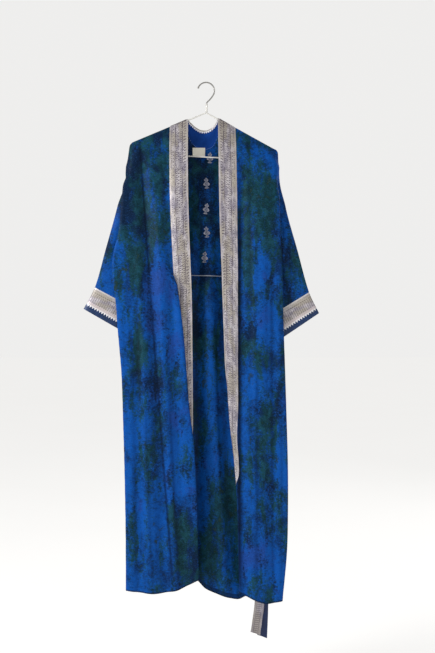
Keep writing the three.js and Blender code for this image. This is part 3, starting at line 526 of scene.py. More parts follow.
def neckFigures(n, base, along, across):
    # the band at the back of the neck: its inner strip ends in white teeth against the facing
    inner = n.math("LESS_THAN", across, neckWeave["strip"])
    teeth = n.math("SUBTRACT", 1.0, toothed(n, along, across, *neckWeave["teeth"]))
    strip = n.mix(n.step(across, *neckWeave["white"]), base, neckWeave["whiteTone"])
    strip = n.mix(teeth, neckWeave["gapTone"], strip)
    outer, raised = bandFigures(n, base, along, n.math("SUBTRACT", across, neckWeave["strip"]))
    return n.mix(inner, outer, strip), raised


sashWeave = {  # from the sash's edge
    "lines": [(0.0070, 0.0006, 0.0006), (0.0210, 0.0006, 0.0006)],
    "bars": ((0.0140, 0.0050, 0.0006), (0.0058, 0.2, 0.6)),
    "ground": colour(96, 92, 104),
    "navyTones": (colour(1, 18, 52), colour(4, 42, 98)),
}


def sashFigures(n, base, along, across):
    # the sash: brocade on its face, plain navy silk on its back
    navySilk = n.mix(n.noise(n.coordinates(), 70, 4, 0.6), *sashWeave["navyTones"])
    lines = n.math("ADD", *[n.line(across, *row) for row in sashWeave["lines"]])
    marks = n.math("ADD", lines, dashes(n, along, across, *sashWeave["bars"]), clamp=True)
    face = n.tint(n.mix(0.35, base, sashWeave["ground"]), marks, 0.5, brocade["purple"])
    return n.mix(n.attribute("inside"), face, navySilk), n.math("SUBTRACT", 1.0, marks)


def labelMaterial():
    # bare woven tape
    material, n, shader = newMaterial("labelTape", **{"Roughness": 0.85, "Sheen Weight": 0.3})
    uv = n.coordinates("UV")
    weave = n.group(weaveTree, UV=uv, Pitch=0.0011)["Height"]
    tone = n.noise(n.stretch(uv, (400, 400, 1)), 1.0, 3.0, 0.6)
    n.put(shader["Base Color"], n.mix(tone, colour(236, 230, 212), colour(250, 246, 234)))
    n.put(shader["Normal"], n.bump(weave, 0.0003, 0.7))
    return material


def motifMaterial():
    # silver thread: a pale outline, with short dark and pale stitches inside it
    material, n, shader = newMaterial("silverThread", **{"Metallic": 0.2, "Roughness": 0.5})
    uv = n.coordinates("UV")
    rim = n.step(n.attribute("rim"), 0.52, 0.74)
    inner = n.noise(n.stretch(uv, (620, 760, 1)), 1.0, 2.0, 0.7)
    ground = n.mix(n.step(inner, 0.46, 0.58), colour(22, 44, 84), colour(168, 168, 180))
    tone = n.noise(n.stretch(uv, (300, 900, 1), (5, 2, 0)), 1.0, 3.0, 0.7)
    thread = n.mix(n.step(tone, 0.40, 0.60), colour(96, 104, 130), colour(196, 196, 206))
    n.put(shader["Base Color"], n.mix(rim, ground, thread))
    n.put(shader["Normal"], n.bump(n.noise(n.stretch(uv, (300, 1800, 1)), 1.0, 2.0), 0.0004, 0.7))
    return material


def wireMaterial():
    # white plastic coat, a little yellowed and scuffed
    material, n, shader = newMaterial("whiteCoat", **{"Specular IOR Level": 0.5, "Coat Weight": 0.2})
    tone = n.noise(n.coordinates(), 60, 4, 0.6)
    n.put(shader["Base Color"], n.mix(tone, colour(194, 192, 186), colour(222, 220, 214)))
    n.put(shader["Roughness"], n.math("MULTIPLY_ADD", tone, 0.25, 0.25))
    n.put(shader["Normal"], n.bump(n.noise(n.coordinates(), 900, 3), 0.0002, 0.3))
    return material


def steelMaterial():
    # zinc-grey wire with fine drawing lines and a duller bloom
    material, n, shader = newMaterial("zincWire", **{"Metallic": 0.85})
    bloom = n.noise(n.coordinates(), 90, 5, 0.6)
    n.put(shader["Base Color"], n.mix(bloom, colour(118, 116, 112), colour(176, 174, 170)))
    n.put(shader["Roughness"], n.math("MULTIPLY_ADD", bloom, 0.3, 0.25))
    drawn = n.noise(n.stretch(n.coordinates("UV"), (40, 4000, 1)), 1.0, 2)
    n.put(shader["Normal"], n.bump(drawn, 0.0001, 0.4))
    return material


materials = {
    "silk": silkMaterial(),
    "band": brocadeMaterial("bandBrocade", bandFigures),
    "cuff": brocadeMaterial("cuffBrocade", cuffFigures),
    "neck": brocadeMaterial("neckBrocade", neckFigures),
    "sash": brocadeMaterial("sashBrocade", sashFigures),
    "label": labelMaterial(),
    "motif": motifMaterial(),
    "wire": wireMaterial(),
    "steel": steelMaterial(),
}
print("materials:", len(materials))


# numpy tools


def table(names, *rows):
    # named columns from rows of numbers
    return dict(zip(names.split(), np.array(rows, float).T))


def mix(a, b, t):
    # a where t is 0, b where it is 1
    return a + (b - a) * t


def smooth(x):
    # 3x^2 - 2x^3 between 0 and 1
    x = np.clip(x, 0, 1)
    return x * x * (3 - 2 * x)


def read(rows, key, at, name):
    # cubic Hermite through a table's rows, each slope taken from the rows beside it, level beyond the ends
    x, y = rows[key], rows[name]
    sign = 1 if x[-1] > x[0] else -1
    x, at = sign * x, np.clip(sign * np.asarray(at, float), sign * x[0], sign * x[-1])
    before, after = np.maximum(np.arange(len(x)) - 1, 0), np.minimum(np.arange(len(x)) + 1, len(x) - 1)
    slope = (y[after] - y[before]) / (x[after] - x[before])
    i = np.clip(np.searchsorted(x, at, side="right") - 1, 0, len(x) - 2)
    span = x[i + 1] - x[i]
    t = (at - x[i]) / span
    bend = ((1 - t) * slope[i] - t * slope[i + 1]) * span * t * (1 - t)
    return y[i] + (y[i + 1] - y[i]) * t * t * (3 - 2 * t) + bend


splineSteps = 12  # points worked out from one control point of a row to the next


def bSpline(points):
    # a cubic B-spline for each row of control points (rows, points, 3), held at both ends by tripled end
    # points
    first, last = points[:, :1], points[:, -1:]
    p = np.concatenate([first, first, points, last, last], axis=1)
    t = np.linspace(0, 1, splineSteps, endpoint=False)
    weights = np.stack([(1 - t) ** 3, 3 * t**3 - 6 * t * t + 4, 3 * (t + t * t - t**3) + 1, t**3]) / 6
    spans = p.shape[1] - 3
    line = sum(w[None, None, :, None] * p[:, k : k + spans, None] for k, w in enumerate(weights))
    return np.concatenate([line.reshape(len(p), -1, 3), last], axis=1)


def runOf(line):
    # distance along each row of points
    steps = np.linalg.norm(np.diff(line, axis=-2), axis=-1)
    return np.concatenate([np.zeros_like(steps[..., :1]), np.cumsum(steps, axis=-1)], axis=-1)


def alongRows(line, run, at):
    # points of each row at the given distances along it
    rows = [[np.interp(a, r, p[:, k]) for k in range(3)] for a, r, p in zip(at, run, line)]
    return np.array(rows).transpose(0, 2, 1)


def differences(grid, axis, closed):
    # neighbour after minus neighbour before, one-sided at open ends
    if closed:
        return np.roll(grid, -1, axis) - np.roll(grid, 1, axis)
    ahead = np.concatenate([grid.take(range(1, grid.shape[axis]), axis), grid.take([-1], axis)], axis)
    behind = np.concatenate([grid.take([0], axis), grid.take(range(grid.shape[axis] - 1), axis)], axis)
    return ahead - behind


def unit(v):
    # each vector at length 1
    return v / np.maximum(np.linalg.norm(v, axis=-1, keepdims=True), 1e-9)


def gridNormals(grid, closed=False):
    # across x down; level where the grid ends on the seam in the middle plane, so that both walls end square
    # there
    normal = np.cross(differences(grid, 1, closed), differences(grid, 0, False))
    normal[..., 1] = np.where(np.abs(grid[..., 1]) < 1e-6, 0, normal[..., 1])
    return unit(normal)


sharpFrom = math.radians(40)  # edges that turn more than this stay sharp


def mesh(name, points, quads, uv=None, uvQuads=None, values=None):
    # a smooth mesh in metres; uvQuads are the faces' places in uv, and values are named numbers a vertex
    data = bpy.data.meshes.new(name)
    data.vertices.add(len(points))
    data.vertices.foreach_set("co", (np.asarray(points) * mm).astype(np.float32).ravel())
    quads = np.asarray(quads, np.int32)
    data.loops.add(quads.size)
    data.loops.foreach_set("vertex_index", quads.ravel())
    data.polygons.add(len(quads))
    data.polygons.foreach_set("loop_start", np.arange(0, quads.size, 4, dtype=np.int32))
    data.polygons.foreach_set("use_smooth", np.ones(len(quads), bool))
    data.update(calc_edges=True)
    if uv is not None:
        layer = data.uv_layers.new(name="UVMap")
        places = np.asarray(quads if uvQuads is None else uvQuads).ravel()
        layer.data.foreach_set("uv", (np.asarray(uv)[places] * mm).astype(np.float32).ravel())
    for key, value in (values or {}).items():
        value = np.asarray(value, np.float32)
        kind = "FLOAT_VECTOR" if value.ndim == 2 else "FLOAT"
        made = data.attributes.new(key, kind, "POINT")
        made.data.foreach_set("vector" if value.ndim == 2 else "value", value.ravel())
    data.set_sharp_from_angle(angle=sharpFrom)
    thing = bpy.data.objects.new(name, data)
    bpy.context.scene.collection.objects.link(thing)
    return thing


def wallQuads(index, far, closed):
    # faces of a wall: two shells of a grid of numbers, the second offset by far, with strips along the first
    # and last rows and, unless it is closed, along the first and last columns
    a, b, c, d = index[:-1, :-1], index[:-1, 1:], index[1:, 1:], index[1:, :-1]
    near = np.stack([a, d, c, b], axis=-1).reshape(-1, 4)
    faces = [near, near[:, ::-1] + far]
    edges = [index[0], index[-1][::-1]] + ([] if closed else [index[:, 0][::-1], index[:, -1]])
    for edge in edges:
        faces.append(np.stack([edge[:-1], edge[1:], edge[1:] + far, edge[:-1] + far], axis=-1))
    return np.concatenate(faces)


def wall(name, grid, thickness, uv, closed=False, normals=None, values=None, flip=False):
    # a wall of cloth: the grid moved half the thickness to each side, joined by strips along the open edges.
    # closed joins the last column to the first, and its uv has one column more than the grid; flip says that
    # the garment's outside is the far side
    rows, columns = grid.shape[:2]
    normals = gridNormals(grid, closed) if normals is None else normals
    half = np.broadcast_to(np.asarray(thickness, float) / 2, (rows, columns))[..., None]
    points = np.concatenate([(grid + side * half * normals).reshape(-1, 3) for side in (1, -1)])
    count = rows * columns
    index = np.arange(count).reshape(rows, columns)
    if closed:
        index = np.concatenate([index, index[:, :1]], axis=1)
    places = np.arange(rows * uv.shape[1]).reshape(rows, -1)
    quads, uvQuads = wallQuads(index, count, closed), wallQuads(places, places.size, closed)
    corners = points[quads]
    volume = np.einsum("ij,ij->", corners[:, 0], np.cross(corners[:, 1], corners[:, 2]))
    volume += np.einsum("ij,ij->", corners[:, 0], np.cross(corners[:, 2], corners[:, 3]))
    if volume < 0:
        quads, uvQuads = quads[:, ::-1], uvQuads[:, ::-1]
    inside = np.repeat([1.0, 0.0] if flip else [0.0, 1.0], count)
    both = {"inside": inside}
    for key, value in (values or {}).items():
        value = np.concatenate([np.reshape(value, (count, -1))] * 2).squeeze()
        both[key] = np.where(inside > 0, value, -1.0) if key == "facing" else value
    flatUv = np.concatenate([np.reshape(uv, (-1, 2))] * 2)
    return mesh(name, points, quads, flatUv, uvQuads, both)


def tube(name, line, radius, sides, closed=False):
    # a round bar about a path in the middle plane, with a radius that may change along it
    along = unit(differences(line, 0, closed))
    side = np.stack([-along[:, 2], np.zeros(len(line)), along[:, 0]], axis=1)
    turn = np.linspace(0, 2 * np.pi, sides, endpoint=False)
    ring = np.cos(turn)[None, :, None] * side[:, None] + np.sin(turn)[None, :, None] * np.array([0, 1.0, 0])
    size = np.broadcast_to(np.asarray(radius, float), (len(line),))[:, None, None]
    points = line[:, None] + ring * size
    index = np.arange(points.shape[0] * sides).reshape(-1, sides)
    index = np.concatenate([index, index[:, :1]], axis=1)
    if closed:
        index = np.concatenate([index, index[:1]], axis=0)
    quads = np.stack([index[:-1, :-1], index[:-1, 1:], index[1:, 1:], index[1:, :-1]], axis=-1).reshape(-1, 4)
    run = runOf(line)
    uv = np.stack(np.broadcast_arrays(turn[None] * size[:, :, 0], run[:, None]), axis=-1).reshape(-1, 2)
    thing = mesh(name, points.reshape(-1, 3), quads, uv)
    if not closed:
        closeEnds(thing)
    return thing


def closeEnds(thing):
    # fills the open rings of a tube and turns its faces outwards
    work = bmesh.new()
    work.from_mesh(thing.data)
    bmesh.ops.holes_fill(work, edges=[e for e in work.edges if e.is_boundary], sides=0)
    bmesh.ops.recalc_face_normals(work, faces=work.faces)
    work.to_mesh(thing.data)
    work.free()


def finishPiece(thing, slot, material, *nodes):
    # its look, the body it rides on and the nodes it stands in for; slot is not used
    thing.data.materials.append(materials[material])
    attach(thing, "root")
    if nodes:
        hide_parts(*nodes)
    return thing


# sizes of the robe

robe = {
    "silk": 0.7,  # wall
    "onWire": 2.9,  # the cloth's middle over the hanger's wire
    "lean": 45.0,  # the cloth stands off the hanger over about this height
    "main": 28.0,  # front-to-back places of the layers, from the hanger's plane
    "turn": 11.0,
    "lap": 10.0,
    "band": 6.0,
    "sleeve": 9.5,
    "bandWidth": 50.5,
    "hemTurn": 12.0,
    "hemExtra": 0.9,  # share of the wall added where the hem is turned up
    "hemStep": 1.5,
    "shoulderRow": -120.0,  # heights at which the shoulder's and the hem's places across are read
    "hemRow": -1470.0,
    "hemDepth": 1300.0,  # cloth below the shoulder at the hem's row
}

hanger = {
    "wire": 1.9,
    "slope": math.radians(25.8),  # of the arms
    "halfWidth": 208.5,
    "bend": 16.0,  # radius at the arms' ends
    "apex": 9.0,  # and where the arms meet
    "neckZ": -85.0,
    "tilt": math.radians(3.1),
    "hookRadius": 24.0,
    "collarRadius": 2.9,
    "collarX": 1.6,
    "collarTop": -60.5,
    "collarBottom": -83.6,
    "tip": 3.0,
    "collarRound": 0.7,  # how far the collar's ends are rounded in, over the length below
    "collarRoundLength": 1.4,
    "crookFrom": 165.0,  # degrees about the crook's centre
    "crookTo": -35.0,
    "armSteps": 60,
    "barSteps": 110,
    "bendSteps": 26,
    "apexSteps": 14,
}


def shoulderZ(x):
    # top of the cloth over the hanger's arm at x
    slope = np.where(x > 0, hanger["slope"] + hanger["tilt"], hanger["slope"] - hanger["tilt"])
    return hanger["neckZ"] - np.abs(x) * np.tan(slope) + robe["onWire"] / np.cos(slope)


# where the fronts' edges stand at each height, as distances out from the middle plane
rightOpening = table(
    "z edge seam lap",
    (-120, 51.5, 102, 102),
    (-277, 51, 101.5, 101.5),
    (-397, 48.5, 99, 99),
    (-516, 44, 94.7, 91.2),
    (-619, 40.5, 91, 78.7),
    (-707, 39.3, 89.8, 67.5),
    (-827, 38.2, 88.7, 57.6),
    (-944, 37.3, 87.8, 47.9),
    (-1018, 37.5, 88, 38),
    (-1132, 40, 90.5, 31.3),
    (-1246, 42, 92.5, 27),
    (-1448, 42, 92.5, 21.5),
)
leftOpening = table(
    "z roll shown",
    (-120, 34.2, 50.5),
    (-397, 39, 50.5),
    (-516, 43.6, 47.3),
    (-619, 46.7, 44.5),
    (-707, 49.9, 43.2),
    (-827, 54.3, 39.4),
    (-944, 65.2, 33.4),
    (-1049, 79, 25.3),
    (-1132, 86.9, 19.5),
    (-1180, 89.5, 0),
    (-1274, 92.9, -12),
    (-1451, 97, -22),
)

# the outer side of each half: seam is shoulder end, armhole and side seam, fold is where the panels turn back
rightSide = table(
    "z seam fold",
    (-168, 206, 206),
    (-172.5, 213.8, 213.8),
    (-179, 218.2, 218.2),
    (-188, 220, 220),
    (-222, 224.5, 224.5),
    (-248.5, 229.4, 229.4),
    (-307, 219.2, 234.6),
    (-382, 206, 241),
    (-440, 195.6, 249),
    (-482, 188, 260),
    (-528, 177, 264.5),
    (-575, 172.5, 261),
    (-640, 168, 253),
    (-700, 169.5, 249),
    (-745, 171, 245),
    (-835, 174, 237.5),
    (-984, 181, 232.5),
    (-1106, 187, 229),
    (-1274, 195, 226),
    (-1448, 203, 225),
)
leftSide = table(
    "z seam fold",
    (-189.4, 195.5, 195.5),
    (-192.5, 201.2, 201.2),
    (-199, 205.3, 205.3),
    (-207, 206.3, 206.3),
    (-226, 207, 207),
    (-248.5, 209.5, 209.5),
    (-323, 196, 207),
    (-408, 181, 208.5),
    (-493.6, 165.3, 213),
    (-550, 154, 215.5),
    (-620, 151, 216.6),
    (-690, 152, 218),
    (-765, 155, 220.5),
    (-855, 162, 223.5),
    (-935, 170, 226),
    (-1106, 186, 230.5),
    (-1277, 198, 230),
    (-1351, 200, 227),
    (-1478, 197, 215),
)
tipX = {"right": -rightSide["fold"][0], "left": leftSide["fold"][0]}  # outer ends of the shoulder line
sides = {
    "right": {"sign": -1, "rows": rightSide, "tip": shoulderZ(tipX["right"]), "top": -248.5, "under": -482.0},
    "left": {"sign": 1, "rows": leftSide, "tip": shoulderZ(tipX["left"]), "top": -248.5, "under": -493.6},
}

# heights of the hems
rightHem = table(
    "out z",
    (20, -1417),
    (34, -1424),
    (51, -1434),
    (74, -1444),
    (97, -1451),
    (131, -1456),
    (180, -1454),
    (227, -1447.5),
)
leftHem = table(
    "out z",
    (97, -1453),
    (108, -1461),
    (125, -1468.5),
    (148, -1478.5),
    (174, -1484.5),
    (197, -1481),
    (216, -1477.5),
)
backHem = table(
    "x z",
    (-226, -1447.5),
    (-160, -1446),
    (-80, -1436),
    (-30, -1433),
    (-2, -1456),
    (35, -1471),
    (70, -1482),
    (98, -1486),
    (122, -1473),
    (160, -1476),
    (216, -1477.5),
)


# folds

# soft folds of each panel: x at the shoulder, the hip and the hem, depth towards the back, half width, and
# the heights between which the fold fades in and out
folds = {
    "right": table(
        "shoulder hip hem depth width from to",
        (-186, -146, -112, 7, 17, -150, -1500),
        (-215, -196, -190, 5, 14, -640, -1500),
        (-172, -168, -150, -5, 20, -560, -1500),
        (-140, -118, -84, -6, 18, -260, -1500),
        (-113, -88, -56, 5, 13, -150, -1500),
        (-150, -133, -100, 2.0, 7, -380, -1250),
        (-205, -178, -165, -1.8, 8, -300, -1000),
        (-228, -214, -208, -1.6, 7, -700, -1480),
        (-128, -104, -70, 1.8, 6, -700, -1460),
        (-192, -184, -178, 1.8, 8, -900, -1500),
    ),
    "left": table(
        "shoulder hip hem depth width from to",
        (103, 101, 112, 6, 12, -180, -1500),
        (118, 126, 138, 4, 20, -150, -900),
        (160, 160, 158, -5, 30, -260, -1500),
        (188, 192, 190, 4, 17, -520, -1500),
        (132, 138, 148, -1.6, 8, -380, -1300),
        (174, 176, 176, 1.5, 7, -420, -1200),
        (146, 148, 152, 1.5, 8, -700, -1480),
        (200, 206, 204, -1.5, 7, -600, -1480),
    ),
    "back": table(
        "shoulder hip hem depth width from to",
        (-190, -176, -172, 6, 22, -260, -1500),
        (-128, -124, -120, -5, 22, -240, -1500),
        (-70, -72, -74, 5, 20, -300, -1500),
        (-22, -21, -24, 8, 17, -420, -1500),
        (4, 8, 56, -9, 28, -200, -1500),
        (44, 52, 100, 4, 20, -400, -1500),
        (104, 112, 132, -4, 24, -240, -1500),
        (168, 172, 180, 5, 22, -260, -1500),
        (-100, -98, -96, -1.8, 9, -380, -1400),
        (-150, -152, -146, 2.0, 9, -520, -1500),
        (-44, -46, -48, -1.8, 8, -560, -1500),
        (26, 34, 74, 1.6, 8, -620, -1500),
        (78, 86, 116, 2.0, 9, -500, -1450),
        (136, 142, 154, 1.8, 9, -420, -1380),
        (196, 200, 202, -1.8, 8, -520, -1500),
    ),
}
foldStations = {"shoulder": -200.0, "hip": -800.0, "hem": -1450.0}
foldFade = 130.0  # height over which a fold fades
creaseFade = 0.3  # share of its length over which a crease fades at each end
rumplesBelow = (-190, 160)  # height where the rumples start, and the drop over which they grow

# creases that run across the folds, from one place to another: depth towards the back and half width
creases = {
    "right": table(
        "x0 z0 x1 z1 depth width",
        (-184, -196, -146, -200, -1.3, 3.5),  # over the hanger's bar
        (-222, -300, -150, -236, 1.6, 9),  # drawn from the armhole to the shoulder
        (-214, -420, -160, -352, 1.4, 10),
        (-248, -560, -196, -500, 2.2, 12),
        (-150, -520, -118, -590, 1.4, 9),
        (-200, -760, -168, -700, 1.2, 10),
        (-140, -980, -112, -900, 1.4, 9),
        (-206, -1180, -180, -1090, 1.2, 10),
        (-120, -1300, -86, -1240, 1.2, 8),
    ),
    "left": table(
        "x0 z0 x1 z1 depth width",
        (114, -222, 186, -214, -1.3, 3.5),
        (150, -250, 204, -310, 1.6, 9),
        (140, -350, 190, -420, 1.3, 10),
        (170, -520, 206, -580, 2.0, 12),
        (120, -640, 150, -700, 1.3, 9),
        (168, -820, 200, -760, 1.2, 10),
        (126, -1010, 150, -930, 1.3, 9),
        (176, -1220, 204, -1140, 1.2, 10),
    ),
    "back": table(
        "x0 z0 x1 z1 depth width",
        (-190, -205, 178, -222, 1.4, 4.5),
        (-196, -330, -140, -250, 1.8, 10),
        (190, -340, 140, -260, 1.8, 10),
        (-180, -520, -120, -470, 1.4, 12),
        (170, -560, 120, -500, 1.4, 12),
        (-30, -700, 30, -660, 1.2, 12),
        (-120, -900, -70, -850, 1.2, 12),
        (60, -1010, 110, -960, 1.2, 12),
        (-20, -1250, 30, -1200, 1.2, 12),
    ),
}


def foldX(rows, k, z):
    # the parabola through a fold's three places
    a, b, c = (foldStations[name] for name in ("shoulder", "hip", "hem"))
    return (
        rows["shoulder"][k] * (z - b) * (z - c) / ((a - b) * (a - c))
        + rows["hip"][k] * (z - a) * (z - c) / ((b - a) * (b - c))
        + rows["hem"][k] * (z - a) * (z - b) / ((c - a) * (c - b))
    )


def foldDepth(panel, x, z):
    # the sum of a panel's folds and creases, each exp(-t^2) across its width and faded at its ends
    rows, depth = folds[panel], np.zeros_like(x)
    for k in range(len(rows["hip"])):
        t = (x - foldX(rows, k, z)) / rows["width"][k]
        fade = smooth((rows["from"][k] - z) / foldFade) * smooth((z - rows["to"][k]) / foldFade + 0.5)
        depth = depth + rows["depth"][k] * np.exp(-t * t) * fade
    rows = creases[panel]
    for k in range(len(rows["x0"])):
        start = np.array([rows["x0"][k], rows["z0"][k]])
        way = np.array([rows["x1"][k], rows["z1"][k]]) - start
        length = np.hypot(*way)
        along = ((x - start[0]) * way[0] + (z - start[1]) * way[1]) / length**2
        off = ((x - start[0]) * way[1] - (z - start[1]) * way[0]) / length
        fade = smooth(along / creaseFade) * smooth((1 - along) / creaseFade)
        depth = depth + rows["depth"][k] * np.exp(-((off / rows["width"][k]) ** 2)) * fade
    return depth + rumple(x, z)


def rumple(x, z):
    # small uneven rumples: a sum of long slanting waves, faint near the shoulders
    waves = table(
        "x z phase height",
        (0.052, 0.0081, 0.4, 0.42),
        (0.083, -0.0123, 1.9, 0.30),
        (0.121, 0.0190, 3.1, 0.22),
        (0.031, 0.0262, 4.4, 0.34),
        (0.067, -0.0337, 5.2, 0.20),
        (0.155, 0.0071, 0.9, 0.14),
    )
    total = sum(h * np.sin(a * x + b * z + p) for a, b, p, h in zip(*waves.values()))
    start, drop = rumplesBelow
    return total * smooth((start - z) / drop)


# fronts


def column(*formulas):
    # the k-th formula's value at the k-th control point's own height
    return np.stack([v[:, k] for k, v in enumerate(np.broadcast_arrays(*formulas))], axis=1)


def armholeOpen(share):
    # half the armhole's opening, front to back, at a share of the way down
    return robe["sleeve"] * np.sqrt(np.maximum(0, 1 - (2 * share - 1) ** 4))


def armholeShare(side, z):
    # 0 at the armhole's top, 1 under the arm
    return (side["top"] - z) / (side["top"] - side["under"])


def seamAt(side, z):
    # the side's seam, straight down the armhole
    share = armholeShare(side, z)
    top, under = (read(side["rows"], "z", side[k], "seam") for k in ("top", "under"))
    return np.where((share > 0) & (share < 1), mix(top, under, share), read(side["rows"], "z", z, "seam"))


overShoulder = np.array([60, 48, 36, 26, 18, 11, 5, 0.4, 0])  # control points, in from the shoulder's end
outerCount = len(overShoulder)
innerCounts = {"right": 12, "left": 8}  # control points of each front inside its outer part


def outerPart(side, z, d, tuck=0.0):
    # control points of a panel's outer part, (out, off the plane): the main layer, the fold and back to the
    # seam. Near the shoulder they spread along it
    seam = seamAt(side, z)
    fold = np.maximum(read(side["rows"], "z", z, "fold") - tuck, seam)
    share = armholeShare(side, z)
    held = (share <= 0) | (share >= 1)
    end = np.where(held, 0, armholeOpen(share))
    m = robe["main"] + 0 * z
    inner = m - robe["turn"]
    wide = np.maximum(12, end + 5)
    folded = (
        column(
            fold - 30, fold - 12, fold + 3, fold + 3, fold - 12,
            mix(seam, fold, 0.35), seam - 2 * held, seam, seam,
        ),
        column(m, m, m, inner, inner, inner, inner, mix(inner, end, 0.5), end),
    )
    flat = (
        column(fold - 40, fold - 26, fold - 15, fold - 8, fold - 4, fold - 1.5, fold, seam, seam),
        column(m, m, m - 2, m - 6, m - 11, wide, mix(wide, end, 0.33), mix(wide, end, 0.67), end),
    )
    turned = smooth((fold - seam) / 14)
    spread = 1 - smooth(d / 60)
    out, reach = (mix(a, b, turned) for a, b in zip(flat, folded))
    return mix(out, fold - overShoulder, spread), reach


def rightInner(z):
    # the right band from its free edge to its seam, and the lap of the front over it
    m, lap, band = (robe[k] for k in ("main", "lap", "band"))
    edge, seam, over = (read(rightOpening, "z", z, k) for k in ("edge", "seam", "lap"))
    under = m - lap
    low = under - band
    far, near = seam + 11, over - 3
    folded = (
        column(
            edge, mix(edge, seam, 0.35), seam - 14, seam + 4, far, far,
            mix(far, near, 0.35), mix(far, near, 0.7), near, near, over + 12, over + 30,
        ),
        np.array([low, low, low, low, low, under, under, under, under, m, m, m]),
    )
    k = np.arange(innerCounts["right"])
    flat = np.where(k < 3, folded[0], mix(seam - 14, seam + 36, np.maximum(k - 2, 0) / 9))
    lapped = smooth((seam - over) / 9)
    return mix(flat, folded[0], lapped), mix(m, folded[1], lapped)


def leftInner(z):
    # the left front's opening, which rolls back on itself further down
    m = robe["main"]
    roll, shown = (read(leftOpening, "z", z, k) for k in ("roll", "shown"))
    hidden = np.maximum(robe["bandWidth"] - shown, 0)
    under = m - robe["lap"]
    folded = (
        column(
            roll + np.maximum(hidden - 8, 2),
            roll + np.maximum(0.6 * hidden - 5, 1.5),
            roll + np.maximum(0.25 * hidden, 1),
            roll - 3,
            roll - 3,
            roll + 10,
            roll + 24,
            roll + 44,
        ),
        np.array([under, under, under, under, m, m, m, m]),
    )
    rolled = smooth(hidden / 24)
    flat = roll + np.array([0, 3, 6, 9, 14, 22, 34, 50])
    return mix(flat, folded[0], rolled), mix(m, folded[1], rolled)


def dropOver(d):
    # height lost after d of cloth: a quarter turn over the wire, then straight down
    w = robe["onWire"]
    quarter = w * np.pi / 2
    return np.where(d < quarter, w * (1 - np.cos(np.minimum(d, quarter) / w)), d - quarter + w)


def offPlane(d, reach):
    # distance off the hanger's plane after d of cloth that would stand off by reach
    w = robe["onWire"]
    quarter = w * np.pi / 2
    most = np.maximum(reach, 0)
    near = np.minimum(w, most)
    leaning = near + (most - near) * (1 - np.exp((quarter - np.maximum(d, quarter)) / robe["lean"]))
    return np.where(d < quarter, near * np.sin(np.minimum(d, quarter) / w), leaning)


# how many rows of cloth stand in each stretch, after those over the wire, which are given as depths
clothRows = {
    "overWire": [0, 0.9, 1.8, 2.7, 3.6, 4.6],
    "toArmhole": 14,
    "armhole": 45,
    "toHem": 125,
    "spread": 1.02,
}


def rowDepths(side, hem):
    # cloth below the shoulder at each row: close over the wire, even to the armhole, closer at the armhole's
    # ends, then a little wider apart towards the hem
    top, under = side["tip"] - side["top"], side["tip"] - side["under"]
    total = side["tip"] - hem
    down = (1 - np.cos(np.linspace(0, np.pi, clothRows["armhole"] + 1)[1:])) / 2
    return np.concatenate([
        clothRows["overWire"],
        mix(clothRows["overWire"][-1], top, np.linspace(0, 1, clothRows["toArmhole"] + 1)[1:]),
        mix(top, under, down),
        mix(under, total, np.linspace(0, 1, clothRows["toHem"] + 1)[1:] ** clothRows["spread"]),
    ])


def frontRows(side, inner, hem, panel):
    # each row of a front with its band as one fine line of points, with the cloth's depth along it
    between = np.array([0.2, 0.4, 0.6, 0.8])  # control points between the inner and the outer part
    innerCount = innerCounts[panel]
    count = innerCount + len(between) + outerCount

    def controls(z, d):
        a = inner(z[:, :innerCount])
        c = outerPart(side, z[:, -outerCount:], d)
        b = (mix(a[0][:, -1:], c[0][:, :1], between), robe["main"] + np.zeros((len(z), len(between))))
        return [np.concatenate(parts, axis=1) for parts in zip(a, b, c)]

    top = controls(np.full((1, count), robe["shoulderRow"]), np.zeros((1, 1)))[0][0]
    bottom = controls(np.full((1, count), robe["hemRow"]), np.full((1, 1), robe["hemDepth"]))[0][0]
    shoulder = shoulderZ(side["sign"] * np.minimum(top, side["rows"]["fold"][0]))
    hemZ = read(hem, "out", bottom, "z")
    depths = rowDepths(side, hemZ[-1])[:, None]
    z = mix(shoulder, hemZ, dropOver(depths) / dropOver(depths[-1]))
    out, reach = controls(z, depths)
    line = bSpline(np.stack([side["sign"] * out, reach, z], axis=-1))
    weight = (line[..., 1] / robe["main"]) ** 2
    stand = line[..., 1] - weight * foldDepth(panel, line[..., 0], line[..., 2])
    line[..., 1] = -offPlane(depths, stand)
    return line, depths
